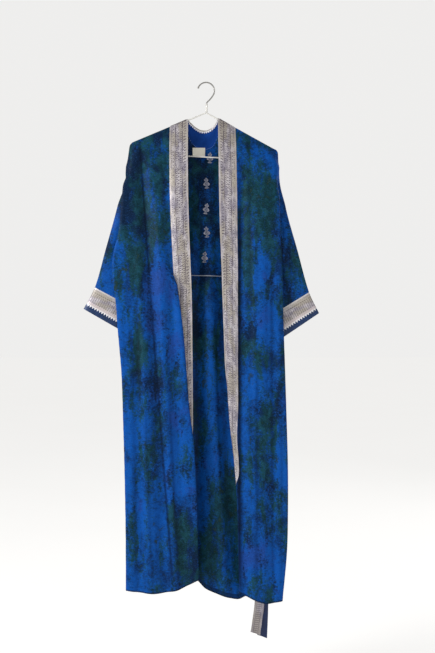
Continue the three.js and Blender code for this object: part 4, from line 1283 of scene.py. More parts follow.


# how the dye lies: soft patches at x, z with their half sizes, leaning bright, green or navy, and painted
# shade
dyeAndShadePatches = {
    "right": table(
        "x z rx rz bright green navy",
        (-150, -150, 60, 40, 0, 1.5, 0.9),
        (-140, -230, 60, 40, 0, 1.0, 1.0),
        (-215, -230, 26, 60, 0, 0.5, 0.9),
        (-215, -330, 34, 84, 0, 1.2, 0.5),
        (-140, -310, 44, 40, 0, 0.9, 0.9),
        (-160, -400, 64, 50, 0, 1.3, 1.0),
        (-120, -520, 30, 50, 0.7, 0, 0),
        (-203, -520, 36, 46, 0, 0.9, 0.1),
        (-150, -640, 50, 50, 0.9, 0, 0),
        (-193, -770, 16, 76, 0, 1.0, 0.9),
        (-132, -780, 16, 54, 0, 0.8, 0.7),
        (-92, -720, 20, 60, 0.7, 0, 0),
        (-135, -990, 18, 64, 0, 0.9, 0.7),
        (-190, -970, 30, 70, 0.8, 0, 0),
        (-66, -969, 9, 11, 0, 1.2, 0.6),
        (-185, -1190, 40, 90, 0.9, 0, 0),
        (-88, -1060, 24, 90, 0.6, 0, 0),
        (-212, -1290, 12, 70, 0, 0.9, 0),
        (-68, -1290, 32, 90, 0, 0.7, 0.9),
        (-150, -1375, 60, 40, 0, 0.1, 0.9),
    ),
    "left": table(
        "x z rx rz bright green navy",
        (112, -180, 26, 44, 0, 0.2, 0.5),
        (165, -200, 40, 60, 0.3, 0.2, 0.4),
        (112, -330, 20, 110, 0, 1.2, 0.7),
        (165, -310, 40, 50, 0, 0.7, 0.8),
        (118, -500, 24, 70, 0, 0.8, 0.5),
        (187, -415, 28, 62, 0, 1.0, 0.7),
        (145, -520, 38, 46, 0.8, 0, 0),
        (203, -520, 14, 54, 0, 0, 0.9),
        (138, -620, 34, 34, 0, 0.7, 0.5),
        (180, -640, 24, 50, 0.7, 0, 0),
        (125, -735, 24, 46, 0, 0.9, 0),
        (180, -810, 36, 30, 0, 0.3, 1.1),
        (135, -870, 26, 40, 0.5, 0, 0),
        (182, -960, 34, 54, 0, 1.3, 0.2),
        (150, -1100, 48, 66, 0, 0.3, 0.5),
        (205, -1110, 12, 80, 0.7, 0, 0),
        (160, -1230, 48, 56, 0.2, 0.1, 0.3),
        (172, -1345, 44, 46, 0.8, 0, 0),
        (200, -1425, 24, 40, 0.7, 0, 0),
    ),
    "back": table(
        "x z rx rz bright green navy",
        (-5, -240, 60, 40, 0, 0.4, 0.8),
        (0, -420, 52, 110, 0, 1.2, 0.3),
        (-5, -590, 52, 46, 0, 0, 0.7),
        (8, -735, 17, 90, 0.5, 0.7, 0),
        # painted shade: these two narrow navy strips beside the bands' edges stand for the shadows the bands
        # cast
        (40, -740, 15, 130, 0, 0, 1.1),
        (-26, -780, 15, 170, 0, 0.2, 1.1),
        (10, -890, 24, 70, 1.6, 0, 0),
        (5, -990, 26, 40, 0, 0.8, 0.3),
        (30, -1090, 34, 70, 0.7, 0, 0),
        (48, -1200, 44, 80, 0, 1.4, 0),
        (16, -1350, 34, 90, 0, 0.8, 0.6),
        (76, -1400, 24, 60, 0, 0.9, 0.2),
        (-140, -500, 60, 120, 0.8, 0, 0),
        (130, -420, 60, 120, 0, 0.9, 0.4),
        (-120, -900, 60, 140, 0, 0.5, 0.3),
        (140, -860, 60, 140, 0.9, 0, 0),
        (-110, -1280, 70, 120, 0.8, 0, 0),
        (130, -1240, 60, 120, 0, 0.6, 0.7),
    ),
    "sleeveRight": table(
        "x z rx rz bright green navy",
        (-247, -350, 22, 60, 0.1, 0, 0.5),
        (-275, -480, 22, 42, 0, 0.9, 0.6),
        (-297, -560, 26, 34, 0.6, 0, 0),
        (-240, -590, 26, 60, 0.2, 0, 0.3),
    ),
    "sleeveLeft": table(
        "x z rx rz bright green navy",
        (220, -340, 22, 56, 0, 0.5, 0.7),
        (252, -500, 26, 50, 0, 1.0, 0.7),
        (270, -572, 26, 34, 0.5, 0, 0),
        (215, -590, 26, 60, 0.2, 0, 0.3),
    ),
}

# painted shade in the narrow bottoms of folds and beside the bands: x at the shoulder, the hip and the
# hem, half width, strength, and the heights between which it fades in and out
shadeLines = {
    "right": table(
        "shoulder hip hem width strength from to",
        (-187, -143, -92, 4, 0.72, -100, -1480),
        (-190, -152, -100, 11, 0.22, -120, -1300),
        (-206, -192, -176, 6, 0.40, -560, -1000),
        (-190, -176, -150, 5, 0.34, -880, -1480),
        (-150, -112, -76, 5, 0.36, -860, -1520),
        (-216, -206, -196, 4, 0.26, -1000, -1500),
    ),
    "left": table(
        "shoulder hip hem width strength from to",
        (97, 94, 95, 7, 0.85, -300, -1520),
        (120, 130, 132, 5, 0.28, -100, -760),
        (186, 186, 190, 5, 0.34, -460, -1500),
        (150, 146, 142, 5, 0.30, -760, -1500),
        (208, 214, 214, 4, 0.25, -560, -1500),
    ),
    "back": table(
        "shoulder hip hem width strength from to",
        (-36, -30, -26, 9, 0.55, -500, -1500),
        (50, 46, 76, 9, 0.40, -480, -1400),
        (26, 30, 60, 4, 0.30, -620, -1500),
        (-190, -176, -172, 8, 0.3, -260, -1500),
        (104, 112, 132, 8, 0.25, -240, -1500),
    ),
}


def shadeOf(panel, grid):
    # the darkest of a panel's shade lines at each vertex, each exp(-t^2) across its width
    rows, x, z = shadeLines[panel], grid[..., 0], grid[..., 2]
    shade = np.zeros_like(x)
    for k in range(len(rows["width"])):
        t = (x - foldX(rows, k, z)) / rows["width"][k]
        fade = smooth((rows["from"][k] - z) / foldFade) * smooth((z - rows["to"][k]) / foldFade)
        shade = np.maximum(shade, rows["strength"][k] * np.exp(-t * t) * fade)
    return shade


def dyeWeights(panel, grid):
    # three weights a vertex: each patch adds its lean times exp(-0.8 r^2), with r its distance in half sizes
    rows, x, z = dyeAndShadePatches[panel], grid[..., 0], grid[..., 2]
    total = np.zeros(grid.shape)
    for k in range(len(rows["x"])):
        r2 = ((x - rows["x"][k]) / rows["rx"][k]) ** 2 + ((z - rows["z"][k]) / rows["rz"][k]) ** 2
        lean = np.array([rows[name][k] for name in ("bright", "green", "navy")])
        total += np.exp(-r2 * 0.8)[..., None] * lean
    return total


def hemWall(fromHem):
    # the silk's wall, nearly doubled where the hem is turned up
    step = robe["hemStep"]
    return robe["silk"] * (1 + robe["hemExtra"] * smooth((robe["hemTurn"] + step - fromHem) / step))


def nothingWoven(grid):
    # a panel with neither the neck's facing nor the woven line
    far = np.full(grid.shape[:2], -1.0)
    return {"facing": far, "woven": far}


# a row slants with the shoulder, so near the top the band takes up more of its length
front = {
    "columns": 112,
    "bandColumns": 22,
    "slantGain": 0.13,
    "slantFrom": 150.0,  # the gain goes back to nothing between these depths below the shoulder
    "slantTo": 600.0,
}


def buildFront(name, inner, hem, flip):
    # a front and its band are two stretches of one grid, so they meet along a shared column
    side = sides[name]
    line, depths = frontRows(side, inner, hem, name)
    run = runOf(line)
    level = smooth((depths - front["slantFrom"]) / (front["slantTo"] - front["slantFrom"]))
    gain = 1 + front["slantGain"] * (1 - level)
    width = robe["bandWidth"] * gain
    bandAt = width * np.linspace(0, 1, front["bandColumns"])
    frontAt = mix(width, run[:, -1:], np.linspace(0, 1, front["columns"])[None])
    at = np.concatenate([bandAt, frontAt[:, 1:]], axis=1)
    grid = alongRows(line, run, at)
    normals = gridNormals(grid)
    n = front["bandColumns"]
    down = np.broadcast_to(depths, at.shape)
    fromHem = down[-1] - down
    thick = hemWall(fromHem)
    values = {"dye": dyeWeights(name, grid), "hem": fromHem * mm, "shade": shadeOf(name, grid)}
    values.update(nothingWoven(grid))
    uvBand = np.stack([down, at / gain], axis=-1)
    uvFront = np.stack([at, down], axis=-1)

    def part(title, columns, uv, material, slot, node):
        own = {key: v[:, columns] for key, v in values.items()}
        piece = wall(
            title, grid[:, columns], thick[:, columns], uv[:, columns],
            normals=normals[:, columns], values=own, flip=flip,
        )
        return finishPiece(piece, slot, material, node)

    band = part("band_" + name, slice(0, n), uvBand, "band", "brocade", "neckband_" + name)
    panel = part("panel_" + name, slice(n - 1, None), uvFront, "silk", "silk", "front_" + name)
    return band, panel


bandRight, panelRight = buildFront("right", rightInner, rightHem, False)
bandLeft, panelLeft = buildFront("left", leftInner, leftHem, True)
print("fronts and bands")


# back

neckline = table(
    "x z",
    (-51.5, -103.4),
    (-50.6, -103.9),
    (-49.5, -105.6),
    (-46, -110.5),
    (-38, -117.5),
    (-23, -128.5),
    (-5, -132.5),
    (12, -128.5),
    (24, -118.5),
    (29, -111.5),
    (32.5, -103.6),
    (34.5, -100.7),
)
neckTurn = {
    "height": 7.0,  # how far the neckband stands above the back's own edge
    "from": -49.6,  # x between which it does
    "to": 32.6,
    "over": 10.0,  # width over which it grows and fades
}


def loweredNeckline():
    # the back's own edge under the neckband
    x = neckline["x"]
    grown = smooth((x - neckTurn["from"]) / neckTurn["over"])
    faded = smooth((neckTurn["to"] - x) / neckTurn["over"])
    return {"x": x, "z": neckline["z"] - neckTurn["height"] * grown * faded}


backEdge = loweredNeckline()
backMiddle = np.array([-150, -115, -85, -62, -45, -30, -15, 0, 12, 24, 38, 55, 78, 105, 135], float)


def depthTo(x, z):
    # cloth between the shoulder line and height z at x
    w = robe["onWire"]
    drop = np.maximum(shoulderZ(x) - z, 0)
    return np.where(drop < w, w * np.arccos(1 - np.minimum(drop, w) / w), drop - w + w * np.pi / 2)


def cutAway(x, rows):
    # cloth below the shoulder line that an edge line cuts away at x, none beyond its ends
    cut = depthTo(x, read(rows, "x", x, "z"))
    return np.where((x <= rows["x"][0]) | (x >= rows["x"][-1]), 0, cut)


def backReach(x):
    # the back stands nearer in the middle, where nothing lies behind it
    return robe["main"] - back["nearer"] * np.exp(-(((x - back["nearerX"]) / back["nearerWidth"]) ** 2))


def backLength(x):
    # height from the shoulder line to the back's hem
    return shoulderZ(x) - read(backHem, "x", x, "z")


def backAt(x, s, out=0.0):
    # a point of the back's middle at x, s down from the shoulder line, moved out along its normal
    def place(u, v):
        z = shoulderZ(u) - backLength(u) * dropOver(v) / dropOver(backLength(u))
        return np.stack([u, offPlane(v, backReach(u) + foldDepth("back", u, z)), z], axis=-1)

    x, s = np.broadcast_arrays(np.asarray(x, float), np.asarray(s, float))
    across = place(x + 1, s) - place(x - 1, s)
    down = place(x, s + 0.5) - place(x, np.maximum(s - 0.5, 0))
    return place(x, s) + unit(np.cross(across, down)) * np.asarray(out, float)[..., None]


back = {
    "tuck": 3.0,  # its outer folds stay behind the fronts'
    "nearer": 5.0,  # how much nearer it stands in the middle, where, and over what half width
    "nearerX": 35.0,
    "nearerWidth": 90.0,
    "outer": 46,
    "middle": np.concatenate([
        np.linspace(-96, -53.5, 12),
        [-52.3, -51.5, -51, -50.6, -50, -49.5, -48.6],
        np.linspace(-47.5, 27, 42),
        [28, 29, 30, 31, 31.8, 32.5, 33.2, 33.9, 34.5, 35.4],
        np.linspace(37, 104, 20),
    ]),
    "facingFrom": -58.0,  # x between which the neck's facing lies
    "facingTo": 42.0,
    "wovenZ": -551.0,
    "wovenWave": 2.0,  # the woven line's waver, and its length over 2 pi
    "wovenWaveLength": 60.0,
    "joinX": 130.0,  # the folded outer parts give way to the plain middle from here inwards
    "joinOver": 40.0,
    "even": 60.0,  # cloth below the shoulder over which the middle's rows turn from level to even
}


def buildBack():
    # the folded outer parts of both sides with the plain middle between them, cut away along the neck
    right, left = sides["right"], sides["left"]
    count = 2 * outerCount + len(backMiddle)

    def controls(z, d):
        a = outerPart(right, z[:, outerCount - 1 :: -1], d[:, outerCount - 1 :: -1], back["tuck"])
        c = outerPart(left, z[:, -outerCount:], d[:, -outerCount:], back["tuck"])
        middle = np.broadcast_to(backMiddle, (len(z), len(backMiddle)))
        x = np.concatenate([-a[0][:, ::-1], middle, c[0]], axis=1)
        reach = np.concatenate([a[1][:, ::-1], robe["main"] + 0 * middle, c[1]], axis=1)
        return x, reach

    flat = np.zeros((1, count))
    across = controls(flat + robe["shoulderRow"], flat)[0][0]
    edge = np.clip(across, tipX["right"], tipX["left"])
    top = shoulderZ(edge)
    atHem = controls(flat + robe["hemRow"], flat + robe["hemDepth"])[0][0]
    bottom = read(backHem, "x", atHem, "z")
    depthRight, depthLeft = rowDepths(right, bottom[0])[:, None], rowDepths(left, bottom[-1])[:, None]

    def depthAt(x):
        # cloth below the shoulder at each row, and at the last one
        share = np.clip((x - tipX["right"]) / (tipX["left"] - tipX["right"]), 0, 1)
        return mix(depthRight, depthLeft, share), mix(depthRight[-1], depthLeft[-1], share)

    d, whole = depthAt(edge[None])
    z = mix(top, bottom, dropOver(d) / dropOver(whole))
    x, reach = controls(z, d)
    line = bSpline(np.stack([x, reach, z], axis=-1))
    x, y, z = np.moveaxis(line, -1, 0)
    d, whole = depthAt(x)
    weight = (y / robe["main"]) ** 2
    stand = y - weight * (robe["main"] - backReach(x)) + weight * foldDepth("back", x, z)
    outer = np.stack([x, offPlane(d, stand), z], axis=-1)
    cut, length = cutAway(x, backEdge), backLength(x)
    inner = backAt(x, cut + mix(d, d / whole * length, smooth(d / back["even"])) * (1 - cut / length))
    line = mix(outer, inner, smooth((back["joinX"] - np.abs(x)) / back["joinOver"])[..., None])
    run = runOf(line)
    # columns: evenly along both outer parts, and at set places across the middle
    first, last = splineSteps * (outerCount + 3), line.shape[1] - splineSteps * (outerCount + 2)
    middle = np.array([np.interp(back["middle"], p[first:last, 0], r[first:last]) for p, r in zip(line, run)])
    steps = np.linspace(0, 1, back["outer"], endpoint=False)
    at = np.concatenate(
        [mix(0, middle[:, :1], steps), middle, mix(run[:, -1:], middle[:, -1:], steps)[:, ::-1]], axis=1
    )
    grid = alongRows(line, run, at)
    down, whole = depthAt(grid[..., 0])
    fromHem = whole - down
    gx, gz = grid[..., 0], grid[..., 2]
    below = shoulderZ(gx) - gz - cutAway(gx, backEdge)
    inNeck = (gx > back["facingFrom"]) & (gx < back["facingTo"])
    offLine = gz - back["wovenZ"] + back["wovenWave"] * np.sin(gx / back["wovenWaveLength"])
    values = {
        "dye": dyeWeights("back", grid),
        "shade": shadeOf("back", grid),
        "hem": fromHem * mm,
        "facing": np.where(inNeck, below, -10) * mm,
        "woven": offLine * mm,
    }
    uv = np.stack([at, down], axis=-1)
    piece = wall("back_panel", grid, hemWall(fromHem), uv, values=values)
    return finishPiece(piece, "silk", "silk", "back")


backPanel = buildBack()
print("back")


# the neckband behind the neck, the label and the woven figures

neckInner = table(
    "t x z",
    (0, -51.2, -102.5),
    (1, -49, -108),
    (2, -42, -114),
    (3, -32, -122.5),
    (4, -18, -130.5),
    (5, -5, -132.5),
    (6, 9, -129.5),
    (7, 21, -121.5),
    (8, 28, -113.5),
    (9, 32.2, -107),
    (10, 34.2, -100.5),
)
neckOuter = table(
    "t x z",
    (0, -101.5, -124),
    (1, -100, -138),
    (2, -92, -155),
    (3, -74, -171),
    (4, -40, -181),
    (5, -6, -184),
    (6, 28, -180),
    (7, 55, -170),
    (8, 73, -156),
    (9, 82, -141),
    (10, 84.5, -129),
)
# from the strip inside the neck, over its edge and down the outside: share, further down, out
neckSection = table(
    "share down out",
    (0, 9.2, -1.1),
    (0, 6.0, -1.1),
    (0, 3.0, -1.1),
    (0, 1.0, -1.0),
    (0, 0.0, -0.3),
    (0, 0.1, 0.8),
    (0, 1.2, 1.6),
    (0, 3.0, 1.7),
    (0.10, 0, 1.7),
    (0.25, 0, 1.7),
    (0.40, 0, 1.7),
    (0.55, 0, 1.7),
    (0.70, 0, 1.7),
    (0.85, 0, 1.7),
    (1, 0, 1.7),
)


neckband = {"wall": 0.6, "steps": 150}


def buildNeckband():
    # a section carried round the neck between two edge lines, laid on the back
    t = np.linspace(0, neckInner["t"][-1], neckband["steps"])
    inner = [read(neckInner, "t", t, k)[:, None] for k in ("x", "z")]
    outer = [read(neckOuter, "t", t, k)[:, None] for k in ("x", "z")]
    share = neckSection["share"]
    x = mix(inner[0], outer[0], share)
    down = mix(depthTo(*inner), depthTo(*outer), share) + neckSection["down"]
    grid = backAt(x, down, neckSection["out"] * np.ones_like(x))
    across = runOf(grid)
    along = runOf(grid[:, 6])[:, None] * np.ones_like(x)
    uv = np.stack([along, across], axis=-1)
    piece = wall("neckband_behind", grid, neckband["wall"], uv)
    return finishPiece(piece, "brocade", "neck", "neckband_back")


neckLabel = {"x": -21.0, "z": -196.0, "width": 36.0, "height": 26.0, "wall": 0.5, "off": 0.95, "curl": 1.1}


def buildLabel():
    # a rectangle just off the back's inside that curls away towards its foot
    u = np.linspace(-0.5, 0.5, 37)[None]
    v = np.linspace(0, 1, 27)[:, None]
    x = neckLabel["x"] + u * neckLabel["width"] + 0 * v
    z = neckLabel["z"] + (0.5 - v) * neckLabel["height"] + 0.4 * np.sin(9 * u) * v
    off = neckLabel["off"] + neckLabel["curl"] * v**2 * (0.6 + 0.8 * u * u) + 0.15 * np.sin(14 * u + 3 * v)
    grid = backAt(x, shoulderZ(x) - z, -off)
    uv = np.stack([x, z], axis=-1)
    piece = wall("neck_tape", grid, neckLabel["wall"], uv)
    return finishPiece(piece, "label", "label", "neck_label")


motif = {"height": 31.0, "out": 0.62, "wall": 0.35}
motifShape = table(  # half width of the figure from its foot to its tip
    "v half",
    (0, 3.4),
    (0.06, 6.2),
    (0.13, 2.6),
    (0.20, 3.0),
    (0.34, 8.6),
    (0.46, 8.8),
    (0.58, 4.0),
    (0.65, 2.4),
    (0.74, 5.4),
    (0.82, 5.8),
    (0.90, 2.8),
    (1, 0.4),
)
motifPlaces = table(
    "x z lean",
    (11, -210, 0.06),
    (1, -284, -0.05),
    (0.5, -358, 0.22),
    (1.5, -425, -0.08),
    (-4, -497, 0.1),
)


def buildMotifs():
    # small pots with a bud: a closed outline of half widths, laid on both faces of the back
    v = np.linspace(0, 1, 45)[:, None]
    u = np.linspace(-1, 1, 13)[None]
    made = []
    for k in range(len(motifPlaces["x"])):
        for face in (-1, 1):
            tall = (v - 0.5) * motif["height"]
            wide = u * read(motifShape, "v", v, "half") + 0.5 * np.sin(6 * v)
            lean = motifPlaces["lean"][k]
            x = motifPlaces["x"][k] + wide * math.cos(lean) + tall * math.sin(lean)
            z = motifPlaces["z"][k] + tall * math.cos(lean) - wide * math.sin(lean)
            grid = backAt(x, depthTo(x, z), face * (motif["out"] + 0.1 * (1 - u * u)))
            uv = np.stack([wide + 0 * v, tall + 0 * u], axis=-1)
            name = f"figure_{k + 1}_{'inside' if face < 0 else 'outside'}"
            rim = {"rim": np.maximum(np.abs(u), 1 - 9 * np.minimum(v, 1 - v))}
            piece = wall(name, grid, motif["wall"], uv, values=rim)
            made.append(finishPiece(piece, "brocade", "motif"))
    return made


neckbandBehind = buildNeckband()
neckTape = buildLabel()
figures = buildMotifs()
print("neckband, label and", len(figures), "woven figures")


# sleeves and cuffs

# upper and lower fold of each sleeve; at is 1 at the cuff's seam and 1.2 at its end
sleeveFolds = {
    "right": (
        table(
            "at x z",
            (0, -229.4, -248.5),
            (0.33, -256, -362.5),
            (0.66, -287.5, -476.5),
            (1, -318.5, -586),
            (1.2, -350.5, -647.5),
        ),
        table(
            "at x z",
            (0, -188, -482),
            (0.12, -189.5, -503),
            (0.4, -184, -550),
            (0.7, -179.5, -605),
            (1, -177, -661),
            (1.2, -210, -728),
        ),
    ),
    "left": (
        table(
            "at x z",
            (0, 209.5, -248.5),
            (0.33, 229.5, -362.5),
            (0.66, 261, -476.5),
            (1, 295, -599.5),
            (1.2, 323.5, -659.5),
        ),
        table(
            "at x z",
            (0, 165.3, -493.6),
            (0.12, 167.5, -515),
            (0.4, 163, -570),
            (0.7, 160, -628),
            (1, 159, -683),
            (1.2, 192, -748),
        ),
    ),
}
sleeve = {
    "rows": 110,
    "spread": 1.15,  # above 1 the rows stand closer near the body
    "cuffRows": 26,
    "ring": 112,
    "cuffFlat": 7.0,  # half the cuff's opening, front to back
    "cuffLength": 72.0,
    "cuffWall": 1.1,
    "length": 350.0,
    "end": 1.2,  # where the cuff ends, in the folds' own measure
    "turnOver": 0.3,  # share of the sleeve over which its rings turn into the armhole
    "narrowFrom": 0.6,  # it narrows from here to the cuff
    "ripple": 1.3,
    # soft valleys: share across, half width, depth, and where they start and end along the sleeve
    "pleats": table(
        "share width depth from to",
        (0.18, 0.05, 1.6, 0.10, 0.80),
        (0.36, 0.045, -1.3, 0.25, 1.05),
        (0.52, 0.05, 1.9, 0.30, 1.00),
        (0.66, 0.04, -1.4, 0.05, 0.60),
        (0.80, 0.045, 1.7, 0.15, 0.95),
        (0.62, 0.025, 1.4, 0.82, 1.10),
    ),
}


def sleeveGrid(name, at):
    # rings across from the upper fold to the lower one, over the front and back again
    side = sides[name]
    upper, lower = ([read(t, "at", at, k)[:, None] for k in ("x", "z")] for t in sleeveFolds[name])
    at = at[:, None]
    turn = np.linspace(0, 2 * np.pi, sleeve["ring"], endpoint=False)[None]
    narrowed = smooth((at - sleeve["narrowFrom"]) / (1 - sleeve["narrowFrom"]))
    half = mix(robe["sleeve"], sleeve["cuffFlat"], narrowed)
    atBody = 1 - smooth(at / sleeve["turnOver"])
    share = (1 - np.cos(turn)) / 2
    opened = half * np.sqrt(np.maximum(0, 1 - (2 * share - 1) ** 4))
    z = mix(upper[1], lower[1], share)
    slot = side["sign"] * seamAt(side, mix(side["top"], side["under"], share))
    x = mix(mix(upper[0], lower[0], share), slot, atBody)
    # a slow ripple that dies out at both seams, and the pleats over it
    depth = sleeve["ripple"] * np.sin(7 * share + 9 * at) * smooth(at / 0.25) * smooth((1.02 - at) / 0.2)
    pleats = sleeve["pleats"]
    for k in range(len(pleats["share"])):
        t = (share - pleats["share"][k] - 0.05 * np.sin(3 * at + k)) / pleats["width"][k]
        fade = smooth((at - pleats["from"][k]) / 0.2) * smooth((pleats["to"][k] - at) / 0.2)
        depth = depth + pleats["depth"][k] * np.exp(-t * t) * fade
    facing = -np.sign(np.sin(turn))
    y = facing * opened - facing * depth * smooth((opened - 1) / 4)
    return np.stack([x, y, z], axis=-1)


def buildSleeve(name):
    # rings carried down the sleeve, of which the last ones are the cuff
    clothAt = np.linspace(0, 1, sleeve["rows"]) ** sleeve["spread"]
    at = np.concatenate([clothAt, np.linspace(1, sleeve["end"], sleeve["cuffRows"])[1:]])
    grid = sleeveGrid(name, at)
    normals = gridNormals(grid, closed=True)
    outward = np.einsum("ijk,ijk->", normals, grid - grid.mean(axis=1, keepdims=True))
    n = sleeve["rows"]
    around = runOf(np.concatenate([grid, grid[:, :1]], axis=1))
    beyond = (at - 1) / (sleeve["end"] - 1) * sleeve["cuffLength"]
    along = np.where(at < 1, at * sleeve["length"], beyond)[:, None]
    along = along * np.ones_like(around)
    values = {"dye": dyeWeights("sleeve" + name.capitalize(), grid), "hem": np.ones(grid.shape[:2])}
    values.update(nothingWoven(grid))
    thick = np.full(grid.shape[:2], robe["silk"])
    thick[n:] = sleeve["cuffWall"]

    def part(title, rows, uv, slot, material, node):
        own = {key: v[rows] for key, v in values.items()}
        piece = wall(
            title, grid[rows], thick[rows], uv[rows], closed=True, normals=normals[rows], values=own,
            flip=outward < 0,
        )
        return finishPiece(piece, slot, material, node)

    silkUv = np.stack([around, along], axis=-1)
    cuffAlong = np.maximum(along, 0)
    cuffAlong[n - 1] = 0
    sleevePiece = part("sleeve_cloth_" + name, slice(0, n), silkUv, "silk", "silk", "sleeve_" + name)
    cuffUv = np.stack([around, cuffAlong], axis=-1)
    cuffPiece = part("cuff_band_" + name, slice(n - 1, None), cuffUv, "brocade", "cuff", "cuff_" + name)
    return sleevePiece, cuffPiece


sleeveRight, cuffRight = buildSleeve("right")
sleeveLeft, cuffLeft = buildSleeve("left")
print("sleeves and cuffs")


# sash

frontLeg = table(
    "z x y",
    (-230, 122, -6.5),
    (-420, 123, -6.5),
    (-760, 128, -6.5),
    (-1100, 140, -6.5),
    (-1380, 151, -6.5),
    (-1483, 153, -7),
    (-1540, 146, -7.5),
    (-1575, 141, -7.5),
)
backLeg = table(
    "z x y",
    (-230, 122, 6.5),
    (-420, 124, 6.5),
    (-760, 131, 6.5),
    (-1100, 146, 6.5),
    (-1380, 160, 6.5),
    (-1483, 164.5, 5),
    (-1545, 163, 3.5),
    (-1587, 161, 3),
)
sash = {
    "width": 28.0,
    "wall": 1.0,
    "x": 122.0,  # where it lies over the bar
    "clear": 1.0,  # off the wire
    "rows": 170,
    "columns": 15,
    "curl": 0.8,  # front to back, growing towards the ends
    "curlLength": 40.0,
    "ripple": 0.35,
    "rippleLength": 37.0,
    "slant": 10.0,  # the ends are cut aslant
    "slantLength": 6.0,
    "levelAbove": -300.0,  # it takes up the bar's tilt above this height
    "levelOver": 60.0,
}

bendX = hanger["halfWidth"] - hanger["bend"]
bendZ = -bendX * math.tan(hanger["slope"]) - hanger["bend"] / math.cos(hanger["slope"])
barZ = bendZ - hanger["bend"]


def buildSash():
    # a strip carried down the front, over the hanger's bar and down the back
    def leg(rows):
        z = np.linspace(rows["z"][0], rows["z"][-1], sash["rows"])
        return np.stack([read(rows, "z", z, k) for k in ("x", "y")] + [z], axis=-1)

    tilt = math.tan(hanger["tilt"])
    bar = hanger["neckZ"] + barZ * math.cos(hanger["tilt"]) - sash["x"] * tilt
    radius = hanger["wire"] + sash["wall"] / 2 + sash["clear"]
    a = np.radians(np.linspace(-90, 90, 19))
    over = np.stack([np.full_like(a, sash["x"]), radius * np.sin(a), bar + radius * np.cos(a)], axis=-1)
    path = np.concatenate([leg(frontLeg)[::-1], over, leg(backLeg)])[:, None]
    f = np.linspace(-0.5, 0.5, sash["columns"])[None]
    run = runOf(path[:, 0])[:, None]
    toEnd = np.minimum(run, run[-1] - run)
    curl = sash["curl"] * (np.cos(2.2 * np.pi * f) - 0.5) * np.exp(-toEnd / sash["curlLength"])
    slant = sash["slant"] * f * np.exp(-toEnd / sash["slantLength"])
    level = smooth((path[..., 2] - sash["levelAbove"]) / sash["levelOver"])
    x = path[..., 0] + f * sash["width"]
    y = path[..., 1] + curl + sash["ripple"] * np.sin(run / sash["rippleLength"] + 4 * f)
    z = path[..., 2] - f * sash["width"] * tilt * level - slant
    grid = np.stack([x, y, z], axis=-1)
    uv = np.stack([run + 0 * f, (f + 0.5) * sash["width"] + 0 * run], axis=-1)
    piece = wall("sash_cloth", grid, sash["wall"], uv)
    return finishPiece(piece, "brocade", "sash", "sash")


sashPiece = buildSash()
print("sash")


# hanger


def hung(x, z):
    # a point of the hanger's own level frame, turned by its tilt
    c, s = math.cos(hanger["tilt"]), math.sin(hanger["tilt"])
    return np.stack([x * c + z * s, 0 * x, hanger["neckZ"] - x * s + z * c], axis=-1)


def arc(x, z, radius, start, end, steps):
    # part of a circle about x, z
    a = np.linspace(start, end, steps)
    return hung(x + radius * np.cos(a), z + radius * np.sin(a))


hookStem = table(
    "z x",
    (-35.9, 19.66),
    (-42.2, 15.2),
    (-47.6, 10.6),
    (-51.6, 6.4),
    (-54.8, 3.4),
    (-57.8, 1.8),
    (-60.2, 1.6),
)


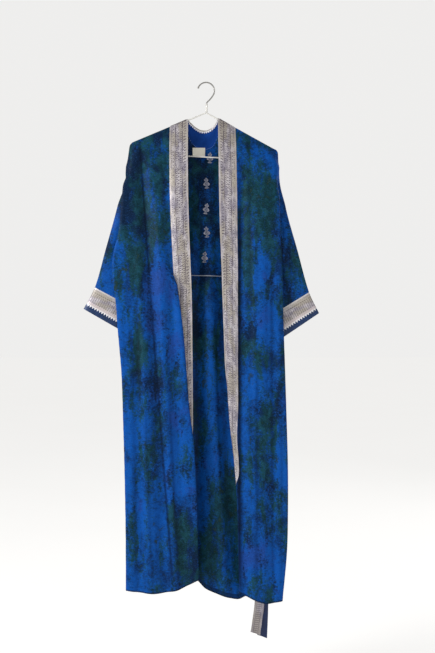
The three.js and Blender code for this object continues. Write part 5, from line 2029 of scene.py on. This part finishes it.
def buildHanger():
    # the frame: one wire through the apex, both arms, both bends and the bar
    steep = np.pi / 2 - hanger["slope"]
    apexZ = -hanger["apex"] / math.cos(hanger["slope"])
    top = arc(0, apexZ, hanger["apex"], np.pi - steep, steep, hanger["apexSteps"])
    left = arc(bendX, bendZ, hanger["bend"], steep, -np.pi / 2, hanger["bendSteps"])
    right = arc(-bendX, bendZ, hanger["bend"], 1.5 * np.pi, np.pi - steep, hanger["bendSteps"])

    def straight(a, b, steps):
        return mix(a, b, np.linspace(0, 1, steps)[1:-1, None])

    armLeft = straight(top[-1], left[0], hanger["armSteps"])
    bar = straight(left[-1], right[0], hanger["barSteps"])
    armRight = straight(right[-1], top[0], hanger["armSteps"])
    line = np.concatenate([top, armLeft, left, bar, right, armRight])
    frameWire = tube("hanger_wire", line, hanger["wire"], 18, closed=True)
    finishPiece(frameWire, "coated_wire", "wire", "hanger_frame")

    # the collar: a short sleeve pressed on the stem, with rounded ends
    z = np.linspace(hanger["collarTop"], hanger["collarBottom"], 40)
    toEnd = np.minimum(hanger["collarTop"] - z, z - hanger["collarBottom"])
    rounded = (1 - np.minimum(toEnd / hanger["collarRoundLength"], 1)) ** 2
    size = hanger["collarRadius"] - hanger["collarRound"] * rounded
    shaft = np.stack([np.full_like(z, hanger["collarX"]), 0 * z, z], axis=-1)
    finishPiece(tube("hanger_sleeve", shaft, size, 28), "coated_wire", "wire", "hanger_collar")

    # the hook: a round crook whose inner top is the origin, then an S down into the collar
    a = np.radians(np.linspace(hanger["crookFrom"], hanger["crookTo"], 130))
    radius = hanger["hookRadius"]
    crook = np.stack([radius * np.cos(a), 0 * a, hanger["wire"] - radius + radius * np.sin(a)], axis=-1)
    z = np.linspace(hookStem["z"][0] - 0.5, hookStem["z"][-1], 40)
    lower = np.stack([read(hookStem, "z", z, "x"), 0 * z, z], axis=-1)
    line = np.concatenate([crook, lower])
    run = runOf(line)
    ball = np.sqrt(np.maximum(hanger["tip"] ** 2 - (run - hanger["tip"]) ** 2, 0.02))
    size = np.where(run < hanger["tip"], ball, np.maximum(ball, hanger["wire"]))
    finishPiece(tube("hook_wire", line, size, 22), "steel", "steel", "hanger_hook")


buildHanger()
print("hanger")


# cloth sizes, floor and finish


def addFloor():
    # a wide pale floor under the sash's ends
    size = view["floorSize"]
    corners = np.array([(-size, -size), (size, -size), (size, size), (-size, size)]) / mm
    points = np.column_stack([corners, np.full(4, view["floor"] / mm)])
    floor = mesh("floor", points, [(0, 1, 2, 3)])
    glow = {"Emission Color": studio["colour"], "Emission Strength": studio["floorGlow"]}
    material, n, shader = newMaterial("paleFloor", **{"Roughness": 0.9, "Specular IOR Level": 0.0}, **glow)
    tone = n.noise(n.coordinates(), 1.5, 3.0)
    n.put(shader["Base Color"], n.mix(tone, colour(186, 185, 183), colour(192, 191, 189)))
    floor.data.materials.append(material)
    floor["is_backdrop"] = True


addFloor()

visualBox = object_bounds()
for title, box in (("CAD box", cadBox), ("visual box", visualBox)):
    print(title, [[round(v, 4) for v in corner] for corner in box])
